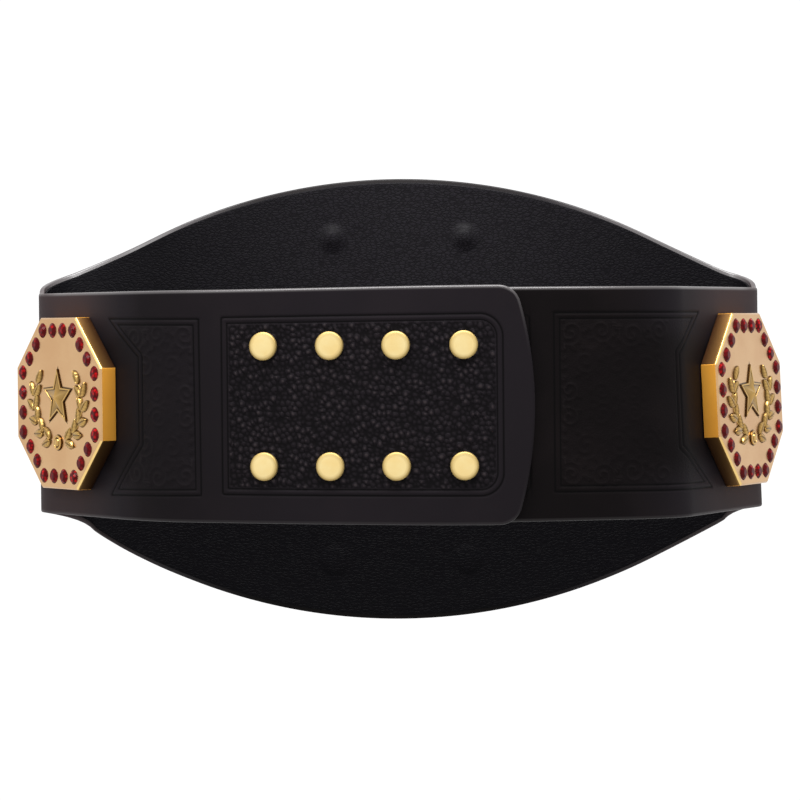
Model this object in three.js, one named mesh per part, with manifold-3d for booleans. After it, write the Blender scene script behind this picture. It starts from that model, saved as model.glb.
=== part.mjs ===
// A leather title belt, snapped into a level loop: strap, lining, three gilt plates, snaps and screws.
// Millimetres, +Z up. The origin is the middle of the loop at half its height.
// -Y is the wearer's back, where the flap is snapped. +Y is the front, where the main plate sits.
import * as THREE from 'three';
import { mergeVertices } from 'three/addons/utils/BufferGeometryUtils.js';
import Module from 'manifold-3d';

const wasm = await Module();
wasm.setup();

// Clearance between pieces that touch
const GAP = 0.3;

// Half the width of the flat front that carries the main plate
const FRONT_FLAT = 120;

// Plan of the loop from above, along the outer face of the strap's inner lane.
// heading is the way the wall runs, lean how far it moves outward for each mm below half height.
const PLAN = [
  { x: 30, y: -84, heading: 0, lean: 0 },
  { x: 104, y: -74.5, heading: 16, lean: 0 },
  { x: 153.5, y: -46.2, heading: 62.3, lean: 0.045 },
  { x: 197.8, y: 38.2, heading: 62.3, lean: 0.045 },
  { x: 202, y: 60, heading: 90, lean: 0 },
  { x: 186, y: 95, heading: 170, lean: -0.12 },
  { x: FRONT_FLAT, y: 97, heading: 180, lean: -0.074 },
  { x: 0, y: 97, heading: 180, lean: -0.074 },
  { x: -FRONT_FLAT, y: 97, heading: 180, lean: -0.074 },
  { x: -181, y: 91, heading: 201, lean: -0.24 },
  { x: -202.7, y: 55, heading: 270, lean: 0 },
  { x: -190, y: 27.8, heading: 305, lean: 0 },
  { x: -153, y: -25, heading: 305, lean: 0 },
  { x: -110, y: -57, heading: 338, lean: 0 },
  { x: -40, y: -77, heading: 352, lean: 0 },
];
const FRONT_ROW = 7;
const STEPS_PER_ROW = 40;

// Strap
const STRAP_THICKNESS = 3;
const STRAP_HALF_HEIGHT = 61.3;
const EDGE_ROUNDING = 0.8;
const INNER_END_X = -97;
const FLAP_TIP_X = 69.8;
const FLAP_EXTRA_HEIGHT = 1.2;
const FLAP_CORNER = 12;
const FLAP_BOW = 205;
const FLAP_TIP_HALF_HEIGHT = 8;
const INNER_END_CORNER = 6;
const LAYER_SPACE = 2;
const CROSSOVER_START_X = -150;
const CROSSOVER_END_X = -106;

// Wide front section: a crown arc, a straight slope and a hollow arc back to the strap's height
const LENS_HALF_HEIGHT = 126.3;
const CROWN_RADIUS = 322;
const SHOULDER_RADIUS = 125;
const SLOPE = THREE.MathUtils.degToRad(26.1);

// Lining
const LINING_THICKNESS = 1.2;
const LINING_INSET = 2.2;
const LINING_HALF_LENGTH = 232;
const BUMP_RADIUS = 7.2;
const BUMP_HEIGHT = 2.4;

// Gilt plates: an octagon with a chamfered edge, stones set round it and a raised emblem
const PLATE_CHAMFER = 0.8;
const SIDE_PLATES = [
  { name: 'side_plate_right', x: 183.9, y: 11.7, rise: -0.5, heading: 62.3, lean: 0.045 },
  { name: 'side_plate_left', x: -179.6, y: 12.9, rise: 0.7, heading: 305, lean: 0 },
];
const SIDE = {
  halfWidth: 47, halfHeight: 47, cut: 27.5, thickness: 9.4, postX: 25, postY: 0, stonePitch: 11,
};
const MAIN = {
  halfWidth: 118, halfHeight: 106, cut: 48, thickness: 6.4, postX: 38, postY: 92.5, stonePitch: 17,
};
const STONE_INSET = 7;
const STONE_RADIUS = 3.85;
const STONE_TABLE = 2.1;
const STONE_HEIGHT = 1.5;
const STONE_SIDES = 8;
const SINK = 0.4;

// Emblem: a five-pointed star between two laurel branches that rise from a round boss
const STAR = { radius: 16, inner: 0.44, height: 2.8, points: 5, middle: 3 };
const BRANCH = { halfWidth: 26.5, halfHeight: 21.5, from: 288, to: 388, pairs: 5, spread: 34 };
const LEAF = { halfLength: 4.7, halfWidth: 2.4, height: 1.7, stem: 0.6 };
const BOSS = { radius: 4, height: 1.9, sides: 8 };
const MAIN_EMBLEM = { scale: 3, rise: 1.3 };
const SIDE_EMBLEM = { scale: 1, rise: 1 };

// Posts through the leather and the flat screws inside it
const POST_RADIUS = 2.8;
const POST_HOLE = 3.2;
const SCREW = { radius: 5.6, height: 1.5, sides: 10 };

// Snaps: four columns in two rows, counted from the flap's tip
const SNAP = { firstFromTip: 36.7, pitch: 34.7, columns: 4, rowHalf: 31.5 };
const SNAP_CAP = { radius: 7.5, height: 2.4, bevel: 0.7, sides: 12 };
const SNAP_BARREL = { radius: 2.3, hole: 2.7, bore: 1.7, flange: 5.4, flangeHeight: 1 };
const SNAP_STUD = { radius: 1.3, shank: 1.8, hole: 2.2, base: 5.4, baseHeight: 1, sides: 8 };

const UP = new THREE.Vector3(0, 0, 1);
const degrees = THREE.MathUtils.degToRad;

// Materials
const finish = (color, roughness, metalness) => (name) => (
  new THREE.MeshStandardMaterial({ name, color, roughness, metalness })
);
const leather = finish(0x17161a, 0.55, 0);
const gilt = finish(0xd9a860, 0.3, 1);
const snapMetal = finish(0xe8cf84, 0.35, 1);

const direction = (heading) => new THREE.Vector2(Math.cos(degrees(heading)), Math.sin(degrees(heading)));

// Plan of the loop as cubic curves that turn evenly from one row's heading to the next
function planSpan(a, b) {
  const from = new THREE.Vector2(a.x, a.y);
  const to = new THREE.Vector2(b.x, b.y);
  const turn = Math.max(degrees(Math.abs(((b.heading - a.heading + 540) % 360) - 180)), 1e-4);
  const reach = (from.distanceTo(to) * (4 / 3) * Math.tan(turn / 4)) / (2 * Math.sin(turn / 2));
  const ahead = (row) => direction(row.heading);
  return new THREE.CubicBezierCurve(
    from, from.clone().addScaledVector(ahead(a), reach),
    to.clone().addScaledVector(ahead(b), -reach), to,
  );
}

// Samples along the whole loop, with s = 0 at the middle of the front and growing towards -X
function sampleLoop() {
  const samples = [];
  PLAN.forEach((row, i) => {
    const next = PLAN[(i + 1) % PLAN.length];
    const span = planSpan(row, next);
    for (let k = 0; k < STEPS_PER_ROW; k += 1) {
      const t = k / STEPS_PER_ROW;
      samples.push({
        point: span.getPoint(t),
        tangent: span.getTangent(t),
        lean: THREE.MathUtils.lerp(row.lean, next.lean, THREE.MathUtils.smoothstep(t, 0, 1)),
      });
    }
  });
  let s = 0;
  samples.forEach((sample, i) => {
    if (i > 0) s += sample.point.distanceTo(samples[i - 1].point);
    sample.s = s;
  });
  const length = s + samples.at(-1).point.distanceTo(samples[0].point);
  const front = samples[FRONT_ROW * STEPS_PER_ROW].s;
  samples.forEach((sample) => { sample.s -= front; });
  return { samples, length };
}

const LOOP = sampleLoop();

// The loop's point, direction, outward normal and lean at any length s along it
function loopAt(s) {
  const { samples, length } = LOOP;
  const wrapped = samples[0].s + ((((s - samples[0].s) % length) + length) % length);
  let low = 0;
  let high = samples.length;
  while (high - low > 1) {
    const middle = (low + high) >> 1;
    if (samples[middle].s <= wrapped) low = middle; else high = middle;
  }
  const a = samples[low];
  const b = samples[high % samples.length];
  const t = (wrapped - a.s) / a.point.distanceTo(b.point);
  const tangent = a.tangent.clone().lerp(b.tangent, t).normalize();
  return {
    point: a.point.clone().lerp(b.point, t),
    tangent,
    normal: new THREE.Vector2(tangent.y, -tangent.x),
    lean: THREE.MathUtils.lerp(a.lean, b.lean, t),
  };
}

// A point of the wall: s along the loop, z up, out away from the inner lane's outer face
function wallPoint(s, z, out) {
  const at = loopAt(s);
  const flat = at.point.clone().addScaledVector(at.normal, out - at.lean * z);
  return new THREE.Vector3(flat.x, flat.y, z);
}

// Length along the loop of the near side's place at x
function nearSideAt(x) {
  const near = LOOP.samples.filter((sample) => sample.point.y < 0);
  const best = near.reduce((a, b) => (Math.abs(b.point.x - x) < Math.abs(a.point.x - x) ? b : a));
  return best.s + (x - best.point.x) / best.tangent.x;
}

const nearLength = (x) => ((nearSideAt(x) % LOOP.length) + LOOP.length) % LOOP.length;
const FLAP_TIP = nearLength(FLAP_TIP_X);
const INNER_END = nearLength(INNER_END_X) - LOOP.length;
const CROSSOVER_START = nearLength(CROSSOVER_START_X);
const CROSSOVER_END = nearLength(CROSSOVER_END_X);
const FLAP_OUT = LAYER_SPACE + STRAP_THICKNESS;

// How far the strap's outer face stands off the inner lane: the flap's side climbs over the other end
function laneOffset(s) {
  return FLAP_OUT * THREE.MathUtils.smoothstep(s, CROSSOVER_START, CROSSOVER_END);
}

// Half height of the wide front section, before the strap's ends are cut
function lensHalfHeight(s) {
  const along = Math.abs(s);
  const crownLength = CROWN_RADIUS * Math.sin(SLOPE);
  const crownEnd = LENS_HALF_HEIGHT - CROWN_RADIUS * (1 - Math.cos(SLOPE));
  const shoulderDrop = SHOULDER_RADIUS * (1 - Math.cos(SLOPE));
  const slopeEnd = crownLength + (crownEnd - STRAP_HALF_HEIGHT - shoulderDrop) / Math.tan(SLOPE);
  const lensEnd = slopeEnd + SHOULDER_RADIUS * Math.sin(SLOPE);
  if (along < crownLength) {
    return LENS_HALF_HEIGHT - CROWN_RADIUS + Math.sqrt(CROWN_RADIUS ** 2 - along ** 2);
  }
  if (along < slopeEnd) return crownEnd - (along - crownLength) * Math.tan(SLOPE);
  if (along < lensEnd) {
    return STRAP_HALF_HEIGHT + SHOULDER_RADIUS - Math.sqrt(SHOULDER_RADIUS ** 2 - (lensEnd - along) ** 2);
  }
  return STRAP_HALF_HEIGHT;
}

// Half height of the flap's end at a distance from its tip: a bowed edge, then a corner rounded into it
function endHalfHeight(fromTip, full) {
  const cornerHeight = full - FLAP_CORNER;
  const cornerReach = Math.sqrt((FLAP_BOW - FLAP_CORNER) ** 2 - cornerHeight ** 2);
  const cornerDepth = FLAP_BOW - cornerReach;
  const bowDepth = FLAP_BOW - (cornerReach * FLAP_BOW) / (FLAP_BOW - FLAP_CORNER);
  if (fromTip < bowDepth) {
    return Math.sqrt(Math.max(2 * FLAP_BOW * fromTip - fromTip ** 2, FLAP_TIP_HALF_HEIGHT ** 2));
  }
  if (fromTip < cornerDepth) return cornerHeight + Math.sqrt(FLAP_CORNER ** 2 - (cornerDepth - fromTip) ** 2);
  return full;
}

function strapHalfHeight(s) {
  if (s < INNER_END + INNER_END_CORNER) {
    const fromEnd = INNER_END_CORNER - (s - INNER_END);
    return STRAP_HALF_HEIGHT - INNER_END_CORNER + Math.sqrt(INNER_END_CORNER ** 2 - fromEnd ** 2);
  }
  if (s < CROSSOVER_END) return lensHalfHeight(s);
  const grown = FLAP_EXTRA_HEIGHT * THREE.MathUtils.smoothstep(s, CROSSOVER_END, FLAP_TIP - FLAP_CORNER);
  return endHalfHeight(FLAP_TIP - s, STRAP_HALF_HEIGHT + grown);
}

// Lengths along the wall where its sections stand: closer together where it turns, twists or changes height,
// and always at the middle of the front and at the ends of its flat
const STATION = { walk: 0.5, sag: 0.13, turn: degrees(10), length: 30, slopeChange: degrees(5), twist: 0.04 };
function stations(from, to, halfHeight) {
  const list = [from];
  let turned = 0;
  let tilted = 0;
  let twisted = 0;
  const slopeAt = (s) => Math.atan((halfHeight(s + STATION.walk) - halfHeight(s)) / STATION.walk);
  for (let s = from + STATION.walk; s < to - STATION.walk; s += STATION.walk) {
    turned += Math.abs(loopAt(s).tangent.angleTo(loopAt(s - STATION.walk).tangent));
    tilted += Math.abs(slopeAt(s) - slopeAt(s - STATION.walk));
    twisted += Math.abs(loopAt(s).lean - loopAt(s - STATION.walk).lean);
    const since = s - list.at(-1);
    const sag = (turned * since) / 8;
    const curved = sag > STATION.sag || turned > STATION.turn || tilted > STATION.slopeChange;
    const fixed = [0, FRONT_FLAT].some((place) => Math.abs(Math.abs(s) - place) <= STATION.walk / 2);
    const due = curved || fixed || twisted > STATION.twist;
    if ((due && since > 2 * STATION.walk) || since > STATION.length) {
      list.push(s);
      turned = 0;
      tilted = 0;
      twisted = 0;
    }
  }
  list.push(to);
  return list;
}

// A closed mesh from rings of points that all have the same count, capped at both ends. Its quads are split
// from low to high on both faces of a wall, so that a twisted wall keeps its thickness.
function loft(rings) {
  const count = rings[0].length;
  const positions = rings.flat().flatMap((p) => [p.x, p.y, p.z]);
  const index = [];
  for (let r = 0; r < rings.length - 1; r += 1) {
    for (let k = 0; k < count; k += 1) {
      const a = r * count + k;
      const b = r * count + ((k + 1) % count);
      const rising = rings[r][k].z < rings[r][(k + 1) % count].z;
      const halves = rising
        ? [a, b, b + count, a, b + count, a + count]
        : [a, b, a + count, b, b + count, a + count];
      index.push(...halves);
    }
  }
  const last = (rings.length - 1) * count;
  for (let k = 1; k < count - 1; k += 1) {
    index.push(0, k + 1, k);
    index.push(last, last + k, last + k + 1);
  }
  const geometry = new THREE.BufferGeometry();
  geometry.setAttribute('position', new THREE.Float32BufferAttribute(positions, 3));
  geometry.setIndex(index);
  return geometry;
}

// Sections of a wall of leather, as [z, out] pairs: with its corners eased, or square
function easedSection(high, face, back) {
  return [
    [high - EDGE_ROUNDING, face], [EDGE_ROUNDING - high, face],
    [-high, face - EDGE_ROUNDING], [-high, back + EDGE_ROUNDING],
    [EDGE_ROUNDING - high, back], [high - EDGE_ROUNDING, back],
    [high, back + EDGE_ROUNDING], [high, face - EDGE_ROUNDING],
  ];
}

const squareSection = (high, face, back) => [[high, face], [-high, face], [-high, back], [high, back]];

// A wall of leather that stands on the loop at these lengths along it
function wall(lengths, halfHeight, outer, thickness, section) {
  return loft(lengths.map((s) => section(halfHeight(s), outer(s), outer(s) - thickness)
    .map(([z, out]) => wallPoint(s, z, out))));
}

// Joins and cuts
function solid(geometry) {
  const bare = geometry.clone();
  bare.deleteAttribute('normal');
  bare.deleteAttribute('uv');
  const merged = mergeVertices(bare, 1e-4);
  const index = merged.index.array;
  return new wasm.Manifold(new wasm.Mesh({
    numProp: 3,
    vertProperties: new Float32Array(merged.attributes.position.array),
    triVerts: new Uint32Array(index),
  }));
}

function geometryOf(body) {
  const mesh = body.getMesh();
  const geometry = new THREE.BufferGeometry();
  geometry.setAttribute('position', new THREE.Float32BufferAttribute(mesh.vertProperties, mesh.numProp));
  geometry.setIndex(Array.from(mesh.triVerts));
  return geometry.toNonIndexed();
}

const joinAll = (bodies) => bodies.reduce((a, b) => a.add(b));
const cutAll = (body, cutters) => cutters.reduce((a, b) => a.subtract(b), body);

function namedMesh(name, geometry, material) {
  const mesh = new THREE.Mesh(geometry, material(name));
  mesh.name = name;
  mesh.geometry.computeVertexNormals();
  return mesh;
}

// The frame of something fixed flat on the wall: x along it, y up the wall, z straight out of it
function wallFrame(point, tangent, lean, out) {
  const along = new THREE.Vector3(tangent.x, tangent.y, 0);
  const up = UP.clone().addScaledVector(along.clone().cross(UP), -lean).normalize();
  const outward = along.clone().cross(up);
  const frame = new THREE.Matrix4().makeBasis(along, up, outward);
  return frame.setPosition(point.clone().addScaledVector(outward, out));
}

// A round solid whose axis is the frame's z
function turned(profile, sides) {
  const points = profile.map(([radius, height]) => new THREE.Vector2(radius, height));
  return new THREE.LatheGeometry(points, sides).rotateX(Math.PI / 2);
}

const disc = (radius, low, high, sides) => turned(
  [[0, low], [radius, low], [radius, high], [0, high]], sides,
);

// Octagon with its corners cut at 45 degrees, drawn in by an inset
function octagon({ halfWidth, halfHeight, cut }, inset) {
  const w = halfWidth - inset;
  const h = halfHeight - inset;
  const c = cut - inset * (2 - Math.SQRT2);
  return [
    [w, c - h], [w, h - c], [w - c, h], [c - w, h],
    [-w, h - c], [-w, c - h], [c - w, -h], [w - c, -h],
  ];
}

function plateBody(plate) {
  const rows = [
    { inset: 0, height: 0 },
    { inset: 0, height: plate.thickness - PLATE_CHAMFER },
    { inset: PLATE_CHAMFER, height: plate.thickness },
  ];
  return loft(rows.map(({ inset, height }) => octagon(plate, inset)
    .map(([x, y]) => new THREE.Vector3(x, y, height))));
}

// Middles of the stones: one at each corner of the inset octagon and the rest evenly between
function stonePlaces(plate) {
  const corners = octagon(plate, STONE_INSET);
  return corners.flatMap(([x, y], i) => {
    const [nextX, nextY] = corners[(i + 1) % corners.length];
    const steps = Math.round(Math.hypot(nextX - x, nextY - y) / plate.stonePitch);
    const between = (a, b, k) => a + ((b - a) * k) / steps;
    return Array.from({ length: steps }, (_, k) => [between(x, nextX, k), between(y, nextY, k)]);
  });
}

const stone = () => turned([
  [0, -SINK], [STONE_RADIUS, -SINK], [STONE_RADIUS, 0], [STONE_TABLE, STONE_HEIGHT], [0, STONE_HEIGHT],
], STONE_SIDES);

// A shape with ridges that run from each point of its outline up to one peak
function peaked(outline, height) {
  const count = outline.length;
  const positions = [0, 0, -SINK, 0, 0, height];
  outline.forEach(([x, y]) => positions.push(x, y, -SINK, x, y, SINK));
  const index = [];
  for (let k = 0; k < count; k += 1) {
    const low = 2 + 2 * k;
    const nextLow = 2 + 2 * ((k + 1) % count);
    index.push(0, nextLow, low, low, nextLow, nextLow + 1);
    index.push(low, nextLow + 1, low + 1, low + 1, nextLow + 1, 1);
  }
  const geometry = new THREE.BufferGeometry();
  geometry.setAttribute('position', new THREE.Float32BufferAttribute(positions, 3));
  geometry.setIndex(index);
  return geometry;
}

function star(scale, rise) {
  const outline = Array.from({ length: 2 * STAR.points }, (_, k) => {
    const angle = degrees(90 + (180 * k) / STAR.points);
    const reach = scale * STAR.radius * (k % 2 ? STAR.inner : 1);
    return [reach * Math.cos(angle), reach * Math.sin(angle)];
  });
  return peaked(outline, STAR.height * rise).translate(0, STAR.middle * scale, 0);
}

// A leaf that grows from the origin along +X
function leaf(scale, rise) {
  const outline = [[2, 0], [0.9, 1], [0, 0], [0.9, -1]];
  const shape = peaked(outline.map(([u, v]) => [
    (u - 1) * LEAF.halfLength * scale, v * LEAF.halfWidth * scale,
  ]), LEAF.height * rise);
  return shape.translate((LEAF.halfLength + LEAF.stem) * scale, 0, 0);
}

// One laurel branch: pairs of leaves along an arc of an ellipse and a single leaf at its tip
function branch(side, { scale, rise }) {
  const leaves = [];
  for (let k = 0; k <= BRANCH.pairs; k += 1) {
    const angle = degrees(THREE.MathUtils.lerp(BRANCH.from, BRANCH.to, k / BRANCH.pairs));
    const x = side * BRANCH.halfWidth * scale * Math.cos(angle);
    const y = BRANCH.halfHeight * scale * Math.sin(angle);
    const way = Math.atan2(BRANCH.halfHeight * Math.cos(angle), -side * BRANCH.halfWidth * Math.sin(angle));
    const turns = k < BRANCH.pairs ? [BRANCH.spread, -BRANCH.spread] : [0];
    turns.forEach((turn) => {
      leaves.push(leaf(scale, rise).rotateZ(way + degrees(turn)).translate(x, y, 0));
    });
  }
  return leaves;
}

function emblem({ scale, rise }) {
  const boss = turned([
    [0, -SINK], [BOSS.radius * scale, -SINK], [BOSS.radius * scale, SINK], [0, BOSS.height * rise],
  ], BOSS.sides).translate(0, -BRANCH.halfHeight * scale, 0);
  return [star(scale, rise), boss, ...branch(1, { scale, rise }), ...branch(-1, { scale, rise })];
}

function postPlaces({ postX, postY }) {
  const heights = postY ? [postY, -postY] : [0];
  return heights.flatMap((y) => [[postX, y], [-postX, y]]);
}

// A whole plate in its own frame, its back at z = 0, with posts that end flush inside the strap
function plateGeometry(plate, emblemSize) {
  const onFace = (geometry, [x, y]) => solid(geometry.translate(x, y, plate.thickness));
  const stones = stonePlaces(plate).map((place) => onFace(stone(), place));
  const raised = emblem(emblemSize).map((geometry) => onFace(geometry, [0, 0]));
  const posts = postPlaces(plate).map(([x, y]) => solid(
    disc(POST_RADIUS, -GAP - STRAP_THICKNESS, SINK, SCREW.sides).translate(x, y, 0),
  ));
  return geometryOf(joinAll([solid(plateBody(plate)), ...stones, ...raised, ...posts]));
}

// Frames of the plates and everything fixed with them
const plates = [
  ...SIDE_PLATES.map((place) => ({
    name: place.name,
    plate: SIDE,
    emblemSize: SIDE_EMBLEM,
    frame: wallFrame(new THREE.Vector3(place.x, place.y, 0), direction(place.heading), place.lean, GAP)
      .multiply(new THREE.Matrix4().makeTranslation(0, place.rise, 0)),
  })),
  {
    name: 'main_plate',
    plate: MAIN,
    emblemSize: MAIN_EMBLEM,
    frame: wallFrame(wallPoint(0, 0, 0), loopAt(0).tangent, loopAt(0).lean, GAP),
  },
];

const posts = plates.flatMap(({ name, plate, frame }) => postPlaces(plate).map(([x, y], i) => ({
  name: `${name.replace('plate', 'screw')}_${i + 1}`,
  lined: name === 'main_plate',
  frame: frame.clone().multiply(new THREE.Matrix4().makeTranslation(x, y, -GAP)),
})));

const snaps = [];
for (let column = 0; column < SNAP.columns; column += 1) {
  const s = FLAP_TIP - SNAP.firstFromTip - SNAP.pitch * (SNAP.columns - 1 - column);
  for (const row of [1, -1]) {
    const at = loopAt(s);
    snaps.push({
      number: snaps.length + 1,
      frame: wallFrame(wallPoint(s, row * SNAP.rowHalf, 0), at.tangent, at.lean, 0),
    });
  }
}

const STRAP_STATIONS = stations(INNER_END, FLAP_TIP, strapHalfHeight);

function strapGeometry() {
  const body = solid(wall(STRAP_STATIONS, strapHalfHeight, laneOffset, STRAP_THICKNESS, easedSection));
  const clear = 1;
  const postHoles = posts.map(({ frame }) => solid(
    disc(POST_HOLE, -STRAP_THICKNESS - clear, clear, SCREW.sides).applyMatrix4(frame),
  ));
  const snapHoles = snaps.flatMap(({ frame }) => [
    disc(SNAP_STUD.hole, -STRAP_THICKNESS - clear, clear / 2, SNAP_STUD.sides),
    disc(SNAP_BARREL.hole, LAYER_SPACE - clear / 2, FLAP_OUT + clear, SNAP_STUD.sides),
  ].map((hole) => solid(hole.applyMatrix4(frame))));
  return geometryOf(cutAll(body, [...postHoles, ...snapHoles]));
}

const LINING_OUT = -STRAP_THICKNESS - GAP;
const liningHalfHeight = (s) => lensHalfHeight(s) - LINING_INSET;

// The lining lies against the strap, with its sections at the strap's, and is pushed up into a round
// bump over each main screw
function liningGeometry() {
  const lengths = STRAP_STATIONS.filter((s) => Math.abs(s) <= LINING_HALF_LENGTH);
  const sheet = solid(wall(lengths, liningHalfHeight, () => LINING_OUT, LINING_THICKNESS, squareSection));
  const inside = LINING_OUT - LINING_THICKNESS;
  const lined = posts.filter((post) => post.lined);
  const dome = [
    [0, inside - BUMP_HEIGHT], [BUMP_RADIUS * 0.5, inside - BUMP_HEIGHT * 0.85],
    [BUMP_RADIUS * 0.85, inside - BUMP_HEIGHT * 0.4], [BUMP_RADIUS, inside + LINING_THICKNESS / 2],
    [0, inside + LINING_THICKNESS / 2],
  ];
  const hollow = () => disc(SCREW.radius + GAP, LINING_OUT - SCREW.height - GAP, LINING_OUT + 1, SCREW.sides);
  const domes = lined.map(({ frame }) => solid(turned(dome, SCREW.sides).applyMatrix4(frame)));
  const hollows = lined.map(({ frame }) => solid(hollow().applyMatrix4(frame)));
  return geometryOf(cutAll(joinAll([sheet, ...domes]), hollows));
}

const screwGeometry = () => disc(
  SCREW.radius, LINING_OUT - SCREW.height, LINING_OUT, SCREW.sides,
);

// Cap, barrel and socket flange of a snap, turned in one piece round the flap's leather
function snapCapGeometry() {
  const { radius, height, bevel, sides } = SNAP_CAP;
  const low = FLAP_OUT + GAP;
  const flangeTop = LAYER_SPACE - GAP;
  const flangeLow = flangeTop - SNAP_BARREL.flangeHeight;
  return turned([
    [0, SNAP_BARREL.flangeHeight + LAYER_SPACE], [SNAP_BARREL.bore, SNAP_BARREL.flangeHeight + LAYER_SPACE],
    [SNAP_BARREL.bore, flangeLow], [SNAP_BARREL.flange, flangeLow], [SNAP_BARREL.flange, flangeTop],
    [SNAP_BARREL.radius, flangeTop], [SNAP_BARREL.radius, low], [radius, low],
    [radius, low + height - 2 * bevel], [radius - bevel, low + height - bevel],
    [radius - 3 * bevel, low + height], [0, low + height],
  ], sides);
}

// Stud of a snap: base inside the strap, shank through it and a nose up into the cap's barrel
function snapStudGeometry() {
  const { radius, shank, base, baseHeight, sides } = SNAP_STUD;
  const top = -STRAP_THICKNESS - GAP;
  return turned([
    [0, top - baseHeight], [base, top - baseHeight], [base, top], [shank, top], [shank, 0],
    [radius, SNAP_BARREL.flangeHeight / 2], [radius, LAYER_SPACE], [0, LAYER_SPACE],
  ], sides);
}

// The belt
const belt = new THREE.Group();
belt.add(namedMesh('strap', strapGeometry(), leather));
belt.add(namedMesh('lining', liningGeometry(), leather));
for (const { name, plate, emblemSize, frame } of plates) {
  const mesh = namedMesh(name, plateGeometry(plate, emblemSize), gilt);
  mesh.applyMatrix4(frame);
  belt.add(mesh);
}
for (const { name, frame } of posts) {
  const mesh = namedMesh(name, screwGeometry(), snapMetal);
  mesh.applyMatrix4(frame);
  belt.add(mesh);
}
for (const { number, frame } of snaps) {
  const cap = namedMesh(`snap_cap_${number}`, snapCapGeometry(), snapMetal);
  const stud = namedMesh(`snap_stud_${number}`, snapStudGeometry(), snapMetal);
  cap.applyMatrix4(frame);
  stud.applyMatrix4(frame);
  belt.add(cap, stud);
}

export default belt;
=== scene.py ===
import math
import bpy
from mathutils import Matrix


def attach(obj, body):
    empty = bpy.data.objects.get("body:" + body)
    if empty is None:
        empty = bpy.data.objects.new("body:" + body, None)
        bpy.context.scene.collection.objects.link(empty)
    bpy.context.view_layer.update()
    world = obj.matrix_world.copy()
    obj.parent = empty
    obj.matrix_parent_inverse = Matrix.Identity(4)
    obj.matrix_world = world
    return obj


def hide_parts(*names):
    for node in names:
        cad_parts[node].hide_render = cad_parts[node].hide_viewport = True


bl_info = {
    "name": "Championship Title Belt",
    "version": (1, 0, 0),
    "blender": (4, 5, 0),
    "location": "3D View > Sidebar > Title Belt",
    "description": "Dresses the packed belt in tooled leather, gilt plates, stones and snaps",
    "category": "Object",
}

import bmesh
import bpy
import numpy as np
from mathutils import Matrix, Vector
from mathutils.geometry import delaunay_2d_cdt

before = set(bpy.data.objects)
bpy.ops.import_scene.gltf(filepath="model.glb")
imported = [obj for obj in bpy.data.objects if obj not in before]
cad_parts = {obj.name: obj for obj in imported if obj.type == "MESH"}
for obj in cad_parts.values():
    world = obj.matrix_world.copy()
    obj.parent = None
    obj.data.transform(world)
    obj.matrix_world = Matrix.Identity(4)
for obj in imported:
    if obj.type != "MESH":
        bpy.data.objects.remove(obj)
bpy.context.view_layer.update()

# Sizes in this script are in millimetres, and meshes are scaled to metres when they are made.
MM = 0.001
# Glue line between pieces that lie on each other
GAP = 0.3

# Plan of the loop from above, along the outer face of the strap's inner lane: x, y, heading in degrees,
# and how far the wall moves outward for each millimetre below half height
PLAN = (
    (30, -84, 0, 0),
    (104, -74.5, 16, 0),
    (153.5, -46.2, 62.3, 0.045),
    (197.8, 38.2, 62.3, 0.045),
    (202, 60, 90, 0),
    (186, 95, 170, -0.12),
    (120, 97, 180, -0.074),
    (0, 97, 180, -0.074),
    (-120, 97, 180, -0.074),
    (-181, 91, 201, -0.24),
    (-202.7, 55, 270, 0),
    (-190, 27.8, 305, 0),
    (-153, -25, 305, 0),
    (-110, -57, 338, 0),
    (-40, -77, 352, 0),
)
FRONT_ROW = 7
STEPS_PER_ROW = 120

# Rows of the plan where the strap bends most, and how far the wear and its painted sheen reach along the
# strap from each
BENDS = ({"row": 4, "reach": 190}, {"row": 10, "reach": 150})

# Strap: each end is cut along a bow with round corners
STRAP_HALF_HEIGHT = 61.3
FLAP_TIP_X = 69.8
FLAP_EXTRA_HEIGHT = 1.2
FLAP_CORNER = 12
FLAP_BOW = 205
INNER_END_X = -97
INNER_END_CORNER = 6
INNER_END_BOW = 4000
LAYER_SPACE = 2
CROSSOVER_START_X = -150
CROSSOVER_END_X = -106

# Wide front section
LENS_HALF_HEIGHT = 126.3
CROWN_RADIUS = 322
SHOULDER_RADIUS = 125
SLOPE = math.radians(26.1)

# Lining, which clears the main plate's screws by the cover. The lower bumps have a share of the upper ones'
# height. Its eased edges are shares of its thickness.
LINING_INSET = 2.2
LINING_HALF_LENGTH = 232
LINING_EASE = {"face": 0.4, "back": 0.2}
LINING_WAVE = 0.16
LOWER_BUMP = 0.5
SCREW_COVER = 0.8

# Plates, in their own frames
SIDE = {
    "half_width": 47,
    "half_height": 47,
    "cut": 27.5,
    "thickness": 9.4,
    "posts": ((25, 0), (-25, 0)),
    "stone_pitch": 11,
}
MAIN = {
    "half_width": 118,
    "half_height": 106,
    "cut": 48,
    "thickness": 6.4,
    "posts": ((38, 92.5), (-38, 92.5), (38, -92.5), (-38, -92.5)),
    "stone_pitch": 17,
}
# Where each side plate sits on the wall: x, y, heading, lean, and how far above half height
SIDE_PLACES = {
    "side_plate_right": (183.9, 11.7, 62.3, 0.045, -0.5),
    "side_plate_left": (-179.6, 12.9, 305, 0, 0.7),
}
STONE_INSET = 7
POST_RADIUS = 2.8
POST_REACH = 3
CORNER_ROUND = 0.5
CORNER_STEPS = 3
FACE_EASE = 0.12
BACK_EASE = 0.35

# Order of a plate's finishes
FACE, WALL, CHAMFER, RELIEF, SLANT = range(5)

# Stones: cut in shares of their radius and height, and depths below the plate's face, and their seats
STONE = {"table": 0.52, "crown": 0.78, "crown_height": 0.62, "girdle": (0.05, 0.45), "point": 1.2}
SEAT = {"gap": 0.06, "sides": 20, "lip": 0.25, "depth": 1.3}
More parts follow.
